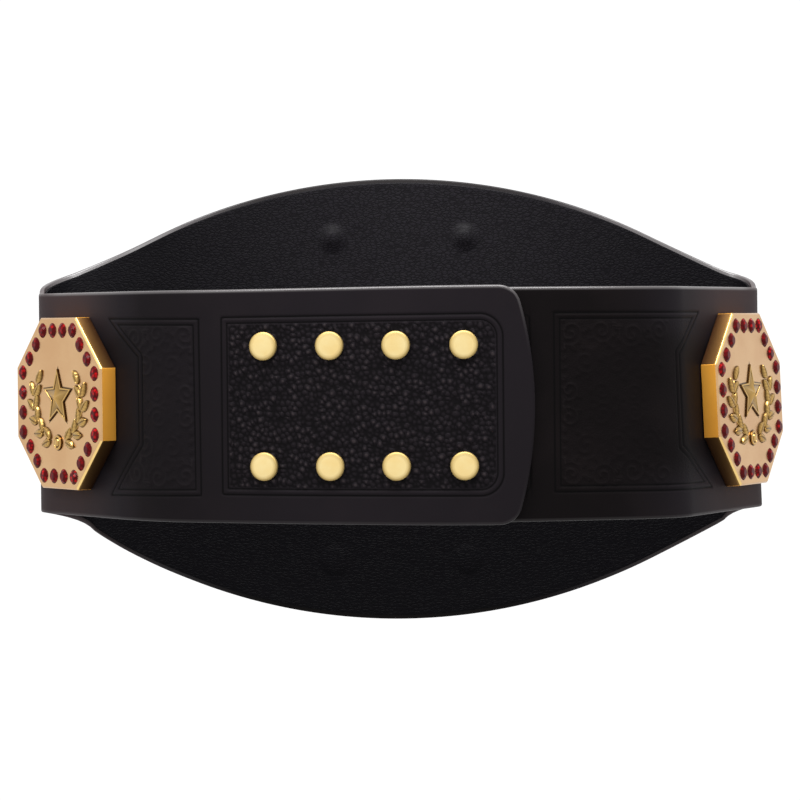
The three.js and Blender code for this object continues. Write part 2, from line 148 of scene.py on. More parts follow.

# Emblem: a five-pointed star between two laurel branches that rise from a round boss. A thin skirt of
# painted shadow lies round each form.
SHADOW_SKIRT = 0.03
STAR = {"radius": 16, "inner": 0.44, "height": 2.8, "middle": 3}
BRANCH = {
    "half_width": 26.5,
    "half_height": 21.5,
    "start": 288,
    "end": 388,
    "pairs": 5,
    "spread": 34,
    "stem_radius": 0.42,
    "steps": 24,
}
LEAF = {"half_length": 4.7, "half_width": 2.4, "height": 1.7, "stem": 0.6, "steps": 14, "across": 8}
BOSS = {"radius": 4, "height": 1.9}
MAIN_EMBLEM = {"scale": 3, "rise": 1.3}
SIDE_EMBLEM = {"scale": 1, "rise": 1}

# Sides of the star from the face up: share of its reach, height, and how much painted shade from 0 to 1
STAR_ROWS = (
    (1.1, SHADOW_SKIRT, 0.7),
    (1.0, SHADOW_SKIRT, 1),
    (0.985, 0.85, 0.75),
    (0.95, 0.95, 0),
    (0.86, 0.95, 0),
    (0.83, 0.55, 1),
    (0.76, 0.62, 0.5),
)
# The boss from its wall to its middle: shares of its radius and height, and how much painted shade
BOSS_ROWS = (
    (1, 0.5, 0.2), (0.92, 0.62, 0), (0.74, 0.62, 0), (0.68, 0.4, 1), (0.6, 0.4, 0.9), (0.5, 0.8, 0.1),
    (0.3, 0.97, 0), (0, 1, 0),
)

# Snaps and screws
SNAP = {"first_from_tip": 36.7, "pitch": 34.7, "columns": 4, "row_half": 31.5}
SCREW_RADIUS = 5.6
SCREW_HEIGHT = 1.5
SCREW_RECESS = {"radius": 2.2, "floor_radius": 1.7, "floor": 0.8}

# A stud's profile as (radius, height above the inner lane's face)
STUD = (
    (0, -4.3), (1.2, -4.3), (1.5, -4.15), (2.2, -4.15), (2.5, -4.3), (4.9, -4.3), (5.3, -4.1), (5.4, -3.8),
    (5.4, -3.3), (1.8, -3.3), (1.8, 0), (1.3, 0.5), (1.3, 1.8), (1.0, 2), (0, 2),
)
# A cap's barrel and socket from the middle out to the flap, in the same way
SOCKET = ((0, 3), (1.7, 3), (1.7, 0.7), (5.2, 0.7), (5.4, 0.85), (5.4, 1.55), (5.2, 1.7), (2.3, 1.7))

# Tooled panels of the strap as corners of (x of the near side, height)
RIGHT_PANEL = (
    (80.7, 47.7), (163, 47.5), (149.3, 25.8), (149.3, -23.1), (166.5, -46.8), (80.7, -46),
)
LEFT_PANEL = (
    (-103.4, -47), (-156.5, -48.4), (-139, -19.8), (-139, 26), (-157, 46.6), (-104.1, 46),
)
FLAP_PANEL = {
    "left": -92,
    "right_from_tip": 16.5,
    "top": 46.7,
    "bottom": -46.3,
    "growth": 1,
    "corner": 12,
    "left_corner": 1,
}
UNDER_PANEL = {"left": -80, "right": 67.8, "half": 46.6}
FRONT_FRAME = {"inset": 7, "half_length": 212}

# Depth inside a panel, from well outside them all to the deepest that matters
PANEL_DEPTHS = (-6, 20)

# How raised untooled leather is, from 0 in the cavities to 1 on the pebbles' tops, how deep the grounds are
# cut, and how far the leather swells between a border's two lines
PLAIN = 0.55
PEBBLED_GROUND = 0.32
CARVED_GROUND = 0.2
BAND_CROWN = 0.12

# Pebbles: a table of random moves and sizes in shares of the pitch, which is smaller upward, and how many
# rows are counted below half height
PEBBLES = {"seed": 11, "table": 128, "move": 0.42, "sizes": (0.62, 1.22), "upward": 0.9, "low": 40}

# Scrolls of the side panels' upper halves: distance from the straight side, height, radius, start in degrees,
# and way round
SCROLLS = (
    (9, 37, 6.2, 200, 1),
    (26, 38, 6, 20, -1),
    (43, 36, 6.4, 160, 1),
    (60, 38, 5.6, 250, -1),
    (17, 22, 6.4, 90, -1),
    (35, 21, 6.6, 300, 1),
    (52, 20, 6, 40, -1),
    (8, 7, 5.4, 120, 1),
    (26, 6, 5.6, 340, -1),
    (44, 5, 5, 210, 1),
)
SCROLL = {"turns": 1.6, "steps": 70, "eye": 0.8, "line": 0.75, "reach": 3}
SCROLL_LEAVES = {"count": 6, "pitch": 44, "first": -20, "tilt": 48, "size": 0.95, "loss": 0.05}
BORDER_LEAVES = {"count": 9, "from_side": 4.2, "first": 2, "pitch": 5.1, "tilt": 42, "size": 4.6}

# Wear of the strap, which also carries a painted sheen at the bends and painted light on the flap: its slight
# share away from the bends and margins, the lengths over which it sets in before and after the crossover, the
# heights where the margins begin and are full, the length from a bend where it is full, and the share that is
# lost between two heights low down, a painted shade that darkens the strap towards the bottom
WEAR_AND_SHEEN = {
    "slight": 0.15,
    "before": 60,
    "after": 80,
    "margins": (24, 52),
    "full": 25,
    "lower": (20, -40),
    "loss": 0.08,
}

# Polish of the edges, which also sets their painted highlight: where each part of it is none and full, as
# heights, lengths from the middle of the front, lengths from a bend, or lengths from the flap's tip
POLISH_AND_HIGHLIGHT = {"upper": (-20, 20), "front": (150, 70), "slopes_end": (222, 204), "bends": (34, 16), "tip": (14, 2)}

# Rows of the strap's mesh: their distances from its edges, which of them fine parts keep, how many rows lie
# between, and which of these coarse parts keep
EDGE_ROWS = (2.6, 4.4, 6.1, 6.55, 7, 7.45, 7.9, 8.55, 9.2, 9.65, 10.1, 10.55, 11)
LIGHT_EDGE_ROWS = (0, 1, 2, 5, 9, 13)
CORE_ROWS = 153
CORE_HALF_HEIGHT = 50
COARSE = {"first": 6, "step": 8}

# Columns of the strap's mesh by parts: where each ends, as x of the near side or as length on the front, its
# step, and whether its rows are fine
RIGHT_COLUMNS = ((64, 8, False), (70, 0.6, False), (78.5, 2.8, False), (168.5, 0.95, True))
FRONT_COLUMNS = ((-LINING_HALF_LENGTH, 4, False), (LINING_HALF_LENGTH, 5, False))
LEFT_COLUMNS = ((-159, 4, False), (-103, 0.95, True), (-94.5, 2, False))
FLAP_STEP = 0.65
FLAP_CUT = {"length": 26, "columns": 28}
INNER_CUT = {"length": 9, "columns": 8}
ARC_POINTS = 24
LINING_MESH = {"step": 1.6, "rows": 151, "back_step": 10}

# Distances from an edge are measured this far, for places this near it, and the back's points have their own
EDGE_MEASURE = 9
EDGE_SEARCH = 14
BACK_FROM_EDGE = 3.5

# Grains in cells, clouds or marks to a metre
STRAP_GRAIN = {"cells": 1500, "pores": 5200, "stipple": 950, "clouds": 26, "wear_and_sheen_share": 14}
LINING_GRAIN = {"cells": 620, "fine": 1500, "clouds": 30, "waver": 160}
GILT_GRAIN = {"clouds": 38, "marks": 2600}
CAP_GRAIN = {"clouds": 90, "marks": 4200}
STONE_GRAIN = 420

# Stage in metres: the round floor, and each lamp's place, width and depth
FLOOR = {"sides": 96, "reach": 5.0, "tones": ((0.80, 0.80, 0.80, 1), (0.83, 0.83, 0.83, 1)), "clouds": 3}
OVERHEAD_LAMP = ((0, -0.25, 0.8), 0.9, 0.6)
SIDE_LAMP = ((-1.5, -1.3, 1.2), 0.5, 0.5)


# Sizes and colours that can be changed in the sidebar


def length(name, description, default):
    """A size in millimetres as a length property, which Blender keeps in metres."""
    return bpy.props.FloatProperty(
        name=name, description=description, default=default * MM, min=0, unit="LENGTH", precision=5
    )


def angle(name, description, default):
    """An angle in degrees as a rotation property, which Blender keeps in radians."""
    return bpy.props.FloatProperty(
        name=name, description=description, default=math.radians(default), unit="ROTATION", precision=5
    )


def scalar(name, description, default, unit="NONE", least=0):
    """A plain number, or a power or focal length in its own unit."""
    return bpy.props.FloatProperty(name=name, description=description, default=default, min=least, unit=unit)


def colour(name, description, *default):
    """An opaque colour from its linear red, green and blue."""
    return bpy.props.FloatVectorProperty(
        name=name, description=description, default=(*default, 1), size=4, min=0, max=1, subtype="COLOR"
    )


class BeltLeather(bpy.types.PropertyGroup):
    thickness: length("Strap Thickness", "Thickness of the strap", 3)
    edge_round: length("Edge Rounding", "Rounding of the strap's outer edge", 1.2)
    back_round: length("Back Edge Rounding", "Rounding of the strap's inner edge", 0.8)
    groove_width: length("Groove Width", "Width of the tooled border lines", 0.9)
    groove_depth: length("Groove Depth", "Depth of the tooled border lines", 0.45)
    band: length("Border Band", "Distance between the two lines of a tooled border", 3.1)
    pebble_pitch: length("Pebble Pitch", "Spacing of the raised pebbles on the flap", 3.0)
    pebble_height: length("Pebble Height", "Height of the raised pebbles on the flap", 0.8)
    carving_height: length("Carving Height", "Height of the scrolls and leaves on the side panels", 0.5)
    lining_thickness: length("Lining Thickness", "Thickness of the lining", 1.2)
    bump_radius: length("Bump Radius", "Radius of the bumps over the main plate's screws", 6.6)
    bump_height: length("Bump Height", "Height of the upper bumps over the main plate's screws", 2.1)
    strap_colour: colour("Strap", "Black of the strap", 0.0030, 0.0022, 0.0024)
    # Painted light: the flap's rubbed tone stands in for light falling on the flap, and the bends' tone is a
    # painted sheen over real wear
    rubbed_and_lit_colour: colour("Rubbed Strap", "Tone of the flap, which is handled most", 0.0082, 0.0066, 0.0082)
    worn_and_sheen_colour: colour("Worn Strap", "Tone of the strap where it bends", 0.0300, 0.0205, 0.0215)
    # The edges' tone is their burnished colour with a painted highlight over it, strongest high up
    edge_and_highlight_colour: colour("Burnished Edge", "Tone of the burnished edges", 0.060, 0.054, 0.055)
    # Painted shade: this black darkens the cavities round the pebbles and the tooled lines
    cavity_shade_colour: colour("Cavities", "Black in the tooled lines and round the pebbles", 0.001, 0.0009, 0.001)
    lining_colour: colour("Lining", "Black of the lining", 0.003, 0.0025, 0.0034)
    lining_light: colour("Lining Highlights", "Tone of the lining's raised grain", 0.0080, 0.0069, 0.0092)
    # Painted shade: the lining's darker black low down and towards its ends
    lining_shade_colour: colour("Lining Below", "Deeper black low down and sideways", 0.0024, 0.0022, 0.0028)


class BeltMetal(bpy.types.PropertyGroup):
    chamfer: length("Plate Chamfer", "Bright chamfer round each plate", 0.8)
    stone_radius: length("Stone Radius", "Radius of the red stones", 4.1)
    stone_height: length("Stone Height", "Height of the stones above the plate", 1.5)
    cap_radius: length("Cap Radius", "Radius of the snap caps", 7.5)
    cap_height: length("Cap Height", "Height of the snap caps", 2.4)
    face_colour: colour("Plate Face", "Rose gilt of the plates' faces", 0.60, 0.375, 0.185)
    wall_colour: colour("Plate Wall", "Satin amber gilt of the plates' upright walls", 0.86, 0.42, 0.06)
    # The slanting walls take a darker, shaded copy of the walls' gilt, which turns to painted shade at the
    # leather
    slope_shaded_colour: colour("Plate Slopes", "Gilt of the plates' slanting walls at the face", 0.34, 0.20, 0.055)
    slope_shade_colour: colour("Slope Backs", "Brown of the slanting walls at the leather", 0.05, 0.02, 0.008)
    chamfer_colour: colour("Plate Chamfer Gilt", "Bright gilt of the chamfers", 0.74, 0.52, 0.20)
    relief_colour: colour("Relief", "Yellow gilt of the raised emblem", 0.58, 0.37, 0.12)
    # Painted shadow and shade: this brown darkens the emblem's skirts, feet and creases and the stones' seats
    recess_shade_colour: colour("Recesses", "Brown in the emblem's recesses", 0.045, 0.015, 0.002)
    cap_colour: colour("Snap Caps", "Pale gilt of the caps and screws", 0.85, 0.685, 0.335)
    # Painted shade round the caps' rims
    cap_rim_shade_colour: colour("Cap Rims", "Deeper gilt round the caps' rims", 0.40, 0.29, 0.11)
    stone_colour: colour("Stones", "Dark red of the stones", 0.055, 0.001, 0.0015)
    # Painted glint: the lighter red inside the stones
    stone_light: colour("Stone Fire", "Bright red inside the stones", 0.36, 0.003, 0.004)


class BeltStudio(bpy.types.PropertyGroup):
    backdrop: scalar("Backdrop", "Brightness of the white surroundings", 1.08)
    overhead: scalar("Overhead Light", "Power of the large light above", 24, "POWER")
    side: scalar("Side Light", "Power of the light at the upper left", 8, "POWER")
    floor_drop: length("Floor Depth", "How far the floor lies below the belt, as below a waist", 1100)
    eye_distance: length("Camera Distance", "Distance of the camera from the belt's middle", 1796)
    eye_height: length("Camera Height", "Height of the camera above the belt's middle", 41.4)
    look_down: angle("Camera Pitch", "How far the camera looks down", 1.2875)
    roll: angle("Camera Roll", "How far the camera is turned about its view", -0.516)
    lens: scalar("Lens", "Focal length of the camera", 147.96, "CAMERA", 1)


# The loop that the leather stands on


def heading_vector(heading):
    """The unit vector of a heading in degrees."""
    return np.array((math.cos(math.radians(heading)), math.sin(math.radians(heading))))


def polar(reach, angle):
    """Places at a distance and an angle in radians from the middle."""
    return np.stack((reach * np.cos(angle), reach * np.sin(angle)), -1)


def smooth(low, high, value):
    """0 at low, 1 at high and a smooth rise between them. The other way round if low is higher."""
    t = np.clip((value - low) / (high - low), 0, 1)
    return t * t * (3 - 2 * t)


def sample_plan():
    """Points, directions and leans round the whole loop, as cubic curves that turn evenly between rows."""
    points, ways, leans = [], [], []
    t = (np.arange(STEPS_PER_ROW) / STEPS_PER_ROW)[:, None]
    for row, after in zip(PLAN, PLAN[1:] + PLAN[:1]):
        a, d = np.array(row[:2], float), np.array(after[:2], float)
        turn = max(abs(math.radians((after[2] - row[2] + 540) % 360 - 180)), 1e-4)
        reach = np.linalg.norm(d - a) * 4 / 3 * math.tan(turn / 4) / (2 * math.sin(turn / 2))
        b, c = a + reach * heading_vector(row[2]), d - reach * heading_vector(after[2])
        points.append((1 - t) ** 3 * a + 3 * (1 - t) ** 2 * t * b + 3 * (1 - t) * t**2 * c + t**3 * d)
        way = (1 - t) ** 2 * (b - a) + 2 * (1 - t) * t * (c - b) + t**2 * (d - c)
        ways.append(way / np.linalg.norm(way, axis=1, keepdims=True))
        leans.append(row[3] + (after[3] - row[3]) * smooth(0, 1, t[:, 0]))
    return np.concatenate(points), np.concatenate(ways), np.concatenate(leans)


class Loop:
    """The closed plan by length, with 0 at the middle of the front and growing towards -X."""

    def __init__(self):
        points, ways, leans = sample_plan()
        steps = np.linalg.norm(np.roll(points, -1, 0) - points, axis=1)
        self.length = steps.sum()
        s = np.concatenate(([0], np.cumsum(steps)[:-1]))
        s -= s[FRONT_ROW * STEPS_PER_ROW]
        self.s, self.x, self.y = s, points[:, 0], points[:, 1]
        rounds = [s + k * self.length for k in (-2, -1, 0, 1, 2)]
        self.table_s = np.concatenate(rounds)
        self.table = [np.tile(v, len(rounds)) for v in (*points.T, *ways.T, leans)]

    def at(self, s):
        """x, y, direction x and y, and lean at lengths s."""
        x, y, way_x, way_y, lean = (np.interp(s, self.table_s, column) for column in self.table)
        size = np.hypot(way_x, way_y)
        return x, y, way_x / size, way_y / size, lean

    def points(self, s, z, out):
        """Points of the wall: s along it, z up, out away from the inner lane's outer face."""
        s, z, out = np.broadcast_arrays(s, z, out)
        x, y, way_x, way_y, lean = self.at(s)
        move = out - lean * z
        return np.stack((x + way_y * move, y - way_x * move, z), -1)

    def near_side(self, x):
        """Length along the loop, from 0 to its whole length, of the near side's places at x."""
        near = self.y < 0
        s = self.s[near] % self.length
        order = np.argsort(s)
        return np.interp(x, self.x[near][order], s[order])


LOOP = Loop()
FLAP_TIP = LOOP.near_side(FLAP_TIP_X)
INNER_END = LOOP.near_side(INNER_END_X) - LOOP.length
CROSSOVER = (LOOP.near_side(CROSSOVER_START_X), LOOP.near_side(CROSSOVER_END_X))


def lane_offset(s, thickness):
    """How far the strap's outer face stands off the inner lane as the flap climbs over the other end."""
    return (LAYER_SPACE + thickness) * smooth(*CROSSOVER, s)


def lens_half_height(s):
    """Half the height of the front section and of the strap that it runs into."""
    along = np.abs(s)
    crown_length = CROWN_RADIUS * math.sin(SLOPE)
    crown_end = LENS_HALF_HEIGHT - CROWN_RADIUS * (1 - math.cos(SLOPE))
    shoulder_drop = SHOULDER_RADIUS * (1 - math.cos(SLOPE))
    slope_end = crown_length + (crown_end - STRAP_HALF_HEIGHT - shoulder_drop) / math.tan(SLOPE)
    lens_end = slope_end + SHOULDER_RADIUS * math.sin(SLOPE)
    crown = LENS_HALF_HEIGHT - CROWN_RADIUS + np.sqrt(CROWN_RADIUS**2 - np.minimum(along, crown_length) ** 2)
    slope = crown_end - (along - crown_length) * math.tan(SLOPE)
    hollow = SHOULDER_RADIUS**2 - np.clip(lens_end - along, 0, SHOULDER_RADIUS) ** 2
    shoulder = STRAP_HALF_HEIGHT + SHOULDER_RADIUS - np.sqrt(hollow)
    return np.where(along < crown_length, crown, np.where(along < slope_end, slope, shoulder))


def strap_half_height(s):
    """Half the height of the whole strap, which grows a little towards the flap's tip."""
    grown = FLAP_EXTRA_HEIGHT * smooth(CROSSOVER[1], FLAP_TIP - FLAP_CORNER, s)
    return np.where(s < CROSSOVER[1], lens_half_height(s), STRAP_HALF_HEIGHT + grown)


# Shader maths


class Field:
    """A socket of a material's nodes that takes part in sums like a number."""

    def __init__(self, finish, socket):
        self.finish, self.socket = finish, socket

    def math(self, operation, *values):
        return self.finish.node("ShaderNodeMath", {"operation": operation}, dict(enumerate(values)))

    def size(self):
        return self.math("ABSOLUTE", self)

    def most(self, other):
        return self.math("MAXIMUM", self, other)

    def __add__(self, other):
        return self.math("ADD", self, other)

    def __sub__(self, other):
        return self.math("SUBTRACT", self, other)

    def __rsub__(self, other):
        return self.math("SUBTRACT", other, self)

    def __mul__(self, other):
        return self.math("MULTIPLY", self, other)

    __radd__ = __add__
    __rmul__ = __mul__

    def over(self, low, high):
        """0 below low, 1 above high and a smooth rise between them. The other way round if low is higher."""
        return self.finish.node(
            "ShaderNodeMapRange",
            {"interpolation_type": "SMOOTHSTEP"},
            {"Value": self, "From Min": low, "From Max": high},
        )

    def near(self, value, width):
        """1 at that value, falling smoothly to 0 at width from it."""
        return (self - value).size().over(width, 0)


class Finish:
    """A procedural material round one Principled shader."""

    def __init__(self, name):
        self.material = bpy.data.materials.new(name)
        self.material.use_nodes = True
        self.tree = self.material.node_tree
        self.tree.nodes.clear()

    def node(self, kind, settings=None, inputs=None, output=0):
        """A node of one kind, its settings made first and then its inputs, as the field of one output."""
        made = self.tree.nodes.new(kind)
        for name, value in (settings or {}).items():
            setattr(made, name, value)
        for name, value in (inputs or {}).items():
            if isinstance(value, Field):
                self.tree.links.new(value.socket, made.inputs[name])
            else:
                made.inputs[name].default_value = value
        return Field(self, made.outputs[output]) if made.outputs else None

    def value(self, name):
        """A number that the mesh carries at each vertex."""
        return self.node("ShaderNodeAttribute", {"attribute_name": name}, output="Fac")

    def lie(self):
        """Where each vertex lies on the flat leather, in metres, as the mesh carries it."""
        return self.node("ShaderNodeAttribute", {"attribute_name": "lie"}, output="Vector")

    def along(self, place, axis):
        """A place's x, y or z, as axis 0, 1 or 2."""
        return self.node("ShaderNodeSeparateXYZ", {}, {0: place}, output=axis)

    def object_place(self):
        """Where each point of the surface is, in metres."""
        return self.node("ShaderNodeTexCoord", output="Object")

    def stretched(self, place, *scale):
        """A place with its x, y and z multiplied by three numbers."""
        return self.node("ShaderNodeVectorMath", {"operation": "MULTIPLY"}, {0: place, 1: scale})

    def shifted(self, place, other, share):
        """A place moved by a share of another field."""
        move = self.node("ShaderNodeVectorMath", {"operation": "SCALE"}, {0: other, "Scale": share})
        return self.node("ShaderNodeVectorMath", {"operation": "ADD"}, {0: place, 1: move})

    def noise(self, place, scale, detail=3, output="Fac"):
        """Clouds about 0.5, so many to a metre, with finer layers as the detail says."""
        inputs = {"Vector": place, "Scale": scale, "Detail": detail}
        return self.node("ShaderNodeTexNoise", {}, inputs, output)

    def cells(self, place, scale, feature="F1"):
        """How far each place is from its nearest cell's middle, or from the border between cells."""
        return self.node("ShaderNodeTexVoronoi", {"feature": feature}, {"Vector": place, "Scale": scale})

    def mix(self, amount, a, b):
        """Colour a where the amount is 0 and b where it is 1."""
        return self.node("ShaderNodeMix", {"data_type": "RGBA"}, {0: amount, 6: a, 7: b}, output=2)

    def bump(self, height, distance, strength):
        """The normals of a surface raised by a height from 0 to 1 times a distance."""
        return self.node("ShaderNodeBump", {}, {"Height": height, "Distance": distance, "Strength": strength})

    def finish(self, **inputs):
        """Ends the material in a Principled shader with these inputs, _ standing for a space."""
        named = {name.replace("_", " "): value for name, value in inputs.items()}
        shader = self.node("ShaderNodeBsdfPrincipled", {}, named)
        self.node("ShaderNodeOutputMaterial", {}, {"Surface": shader})
        return self.material


def shaded(tone, *shares):
    """A colour with each channel cut down to a share."""
    return (*(channel * share for channel, share in zip(tone, shares)), 1)


def strap_finish(leather):
    """Satin black strap leather: fine grain, tooled lines, painted shade in the cavities and lines, burnished
    edges with a painted highlight, a painted sheen at the bends and painted light on the flap and the
    pebbles.
    """
    f = Finish("strap_leather")
    lie, depth, relief, edge = f.lie(), f.value("panel"), f.value("relief"), f.value("edge")
    # The wear value also carries a painted sheen at the bends, painted light on the flap and painted shade
    # low down
    wear_and_sheen = f.value("wear_and_sheen") * (0.85 + 0.3 * f.noise(lie, STRAP_GRAIN["wear_and_sheen_share"], detail=2))
    lines = depth.near(0, leather.groove_width) + depth.near(leather.band, leather.groove_width * 0.8)
    grain = f.cells(lie, STRAP_GRAIN["cells"], "SMOOTH_F1")
    pores = f.noise(lie, STRAP_GRAIN["pores"], detail=2)
    cloud = f.noise(lie, STRAP_GRAIN["clouds"], detail=4)
    ground = depth.over(leather.band, leather.band + 0.0008)
    burnish, polished_and_lit = edge.over(0.0020, 0.0009), f.value("polish_and_highlight")
    # Painted shade in the cavities round the pebbles and the carving
    cavity_shade = ground * relief.over(0.42, 0.05)
    lit_tops = ground * relief.over(0.6, 0.95)
    base = f.mix(wear_and_sheen.over(0, 0.35), leather.strap_colour, leather.rubbed_and_lit_colour)
    base = f.mix(wear_and_sheen.over(0.3, 1) + 0.05 * cloud.over(0.42, 0.75), base, leather.worn_and_sheen_colour)
    # Painted glint: the pebbles' raised parts are lightened
    base = f.mix(lit_tops * 0.38, base, leather.worn_and_sheen_colour)
    # Painted shade: the cavities and tooled lines are darkened
    base = f.mix(cavity_shade * 0.7, base, leather.cavity_shade_colour)
    base = f.mix(lines * 0.9, base, leather.cavity_shade_colour)
    # Painted highlight on the burnished edges, over their own lighter tone
    base = f.mix(burnish * polished_and_lit, base, leather.edge_and_highlight_colour)
    stipple = f.cells(lie, STRAP_GRAIN["stipple"]) * relief.near(0.45, 0.08) * ground
    height = grain * 0.5 + pores * 0.35 + stipple * 1.6
    return f.finish(
        Base_Color=base,
        Roughness=0.5 + 0.08 * cloud - 0.2 * lit_tops - 0.15 * burnish,
        Specular_IOR_Level=0.035,
        Coat_Weight=burnish * polished_and_lit * 1.2 + lit_tops * 0.22,
        Coat_Roughness=0.3,
        Normal=f.bump(height, 0.00012, 0.55),
    )


def lining_finish(leather):
    """Thin lining leather with a grain of small flat cells, and painted shade that darkens it low down and
    sideways.
    """
    f = Finish("lining_leather")
    lie = f.lie()
    # Painted shade: the lining darkens low down and towards its ends, and its coat is kept off the shaded
    # part
    lit = f.along(lie, 0).near(-0.015, 0.19)
    lining_shade = f.along(lie, 1).over(0.05, -0.06).most((1 - lit) * 0.85)
    waver = f.noise(lie, LINING_GRAIN["waver"], detail=2, output="Color")
    across = f.stretched(f.shifted(lie, waver, 0.0022), 0.55, 1.0, 1.0)
    cells = f.cells(across, LINING_GRAIN["cells"], "DISTANCE_TO_EDGE")
    cloud = f.noise(lie, LINING_GRAIN["clouds"])
    tone = cells.over(0.02, 0.3) * (0.35 + 0.65 * cloud)
    base = f.mix(tone, leather.lining_colour, leather.lining_light)
    height = cells.over(0.0, 0.22) + f.cells(across, LINING_GRAIN["fine"]) * 0.3
    return f.finish(
        Base_Color=f.mix(lining_shade, base, leather.lining_shade_colour),
        Roughness=0.42 + 0.12 * cloud,
        Specular_IOR_Level=0.02,
        Coat_Weight=0.1 * (1 - lining_shade),
        Coat_Roughness=0.35,
        Normal=f.bump(height, 0.0002, 0.9),
    )


def gilt_finish(name, tone, rough, painted_shade=None):
    """Polished gilt with faint tarnish clouds and fine polishing marks, and painted shade where the mesh
    carries it.
    """
    f = Finish(name)
    place = f.object_place()
    cloud = f.noise(place, GILT_GRAIN["clouds"])
    marks = f.noise(f.stretched(place, 1.0, 1.0, 0.08), GILT_GRAIN["marks"], detail=2)
    base = f.mix(cloud.over(0.35, 0.7), tone, shaded(tone, 0.93, 0.88, 0.84))
    if painted_shade:
        base = f.mix(f.value("painted_shade"), base, painted_shade)
    return f.finish(
        Base_Color=base,
        Metallic=1.0,
        Roughness=rough + 0.08 * cloud,
        Normal=f.bump(cloud * 0.45 + marks * 0.02, 0.0004, 0.35),
    )


def cap_finish(metal):
    """Pale satin gilt of the snaps and screws, brushed in small arcs."""
    f = Finish("snap_metal")
    place = f.object_place()
    marks = f.noise(f.stretched(place, 1.0, 1.0, 0.12), CAP_GRAIN["marks"], detail=2)
    cloud = f.noise(place, CAP_GRAIN["clouds"])
    pale = f.mix(cloud.over(0.3, 0.7), metal.cap_colour, shaded(metal.cap_colour, 0.97, 0.9, 0.78))
    # Painted shade: the gilt darkens round the cap's rim
    rim = f.value("painted_shade")
    return f.finish(
        Base_Color=f.mix(rim, pale, metal.cap_rim_shade_colour),
        Metallic=1.0,
        Roughness=0.27 + 0.1 * marks + 0.25 * rim,
        Normal=f.bump(marks, 0.00005, 0.4),
    )


def stone_finish(metal):
    """Dark red faceted stone with a painted glint of lighter red inside."""
    f = Finish("garnet")
    # Painted glint inside the stone, stronger in some stones than in others
    painted_glint = f.cells(f.object_place(), STONE_GRAIN).over(0.55, 0.1)
    glow = painted_glint * (0.25 + 0.75 * f.value("painted_glint"))
    return f.finish(
        Base_Color=f.mix(glow, metal.stone_colour, metal.stone_light),
        Roughness=0.07 + 0.05 * painted_glint,
        Specular_IOR_Level=0.08,
        Coat_Weight=0.02,
    )


# Meshes


def make_piece(name, points, faces, materials, values=None, face_materials=None, sharp=None):
    """A piece of the belt from points in millimetres, riding on the root body."""
    mesh = bpy.data.meshes.new(name)
    mesh.from_pydata((np.asarray(points, float) * MM).tolist(), [], faces)
    for value_name, value in (values or {}).items():
        kind, field = ("FLOAT_VECTOR", "vector") if np.ndim(value) == 2 else ("FLOAT", "value")
        data = mesh.attributes.new(value_name, kind, "POINT").data
        data.foreach_set(field, np.ascontiguousarray(value, dtype=np.float32).ravel())
    for material in materials:
        mesh.materials.append(material)
    if face_materials is not None:
        mesh.polygons.foreach_set("material_index", np.asarray(face_materials, np.int32))
    mesh.shade_smooth()
    mend = bmesh.new()
    mend.from_mesh(mesh)
    bmesh.ops.recalc_face_normals(mend, faces=mend.faces)
    mend.to_mesh(mesh)
    mend.free()
    if sharp is not None:
        mesh.set_sharp_from_angle(angle=math.radians(sharp))
    mesh.validate()
    piece = bpy.data.objects.new(name, mesh)
    bpy.context.scene.collection.objects.link(piece)
    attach(piece, "root")
    return piece


class Grid:
    """A sheet's face as columns along the loop, with fewer rows where nothing is tooled."""

    def __init__(self, lengths, heights, column_rows, back_rows):
        self.lengths, self.heights = lengths, heights
        self.column_rows, self.back_rows = column_rows, back_rows
        self.used = np.zeros(lengths.shape, bool)
        for column, rows in enumerate(column_rows):
            self.used[column, rows] = True
        self.number = np.full(lengths.shape, -1)
        self.number[self.used] = np.arange(self.used.sum())

    def places(self):
        """Lengths and heights of the face's points, in the order of their numbers."""
        return self.lengths[self.used], self.heights[self.used]

    def border(self):
        """Places in the grid of the face's border, once round."""
        columns, rows = self.lengths.shape
        start = [(0, j) for j in self.column_rows[0][:0:-1]]
        top = [(i, 0) for i in range(columns - 1)]
        end = [(columns - 1, j) for j in self.column_rows[-1][:-1]]
        bottom = [(i, rows - 1) for i in range(columns - 1, 0, -1)]
        return start + top + end + bottom


def column_faces(number, column_rows):
    """Faces between neighbouring columns of numbered points, which may have different rows."""
    faces = []
    for i, (rows_a, rows_b) in enumerate(zip(column_rows, column_rows[1:])):
        shared = sorted(set(rows_a) & set(rows_b))
        for low, high in zip(shared, shared[1:]):
            a = [int(number[i, j]) for j in rows_a if low <= j <= high]
            b = [int(number[i + 1, j]) for j in rows_b if low <= j <= high]
            faces.append(tuple(a + b[::-1]))
    return faces


def faces_between(rows, count, closed=False):
    """Faces between neighbouring rows of points, each row with a count of points and open or closed."""
    return [
        (r * count + k, r * count + (k + 1) % count, (r + 1) * count + (k + 1) % count, (r + 1) * count + k)
        for r in range(rows - 1)
        for k in range(count if closed else count - 1)
    ]


def rim_profile(thickness, round_face, round_back):
    """Inset and depth of the edge's rings, from the face round to the back."""
    turns = np.radians((30, 60, 90))
    over = [(round_face * (1 - math.sin(t)), round_face * (1 - math.cos(t))) for t in turns]
    under = [(round_back * (1 - math.cos(t)), thickness - round_back * (1 - math.sin(t))) for t in turns]
    return over + [(0, thickness - round_back)] + under


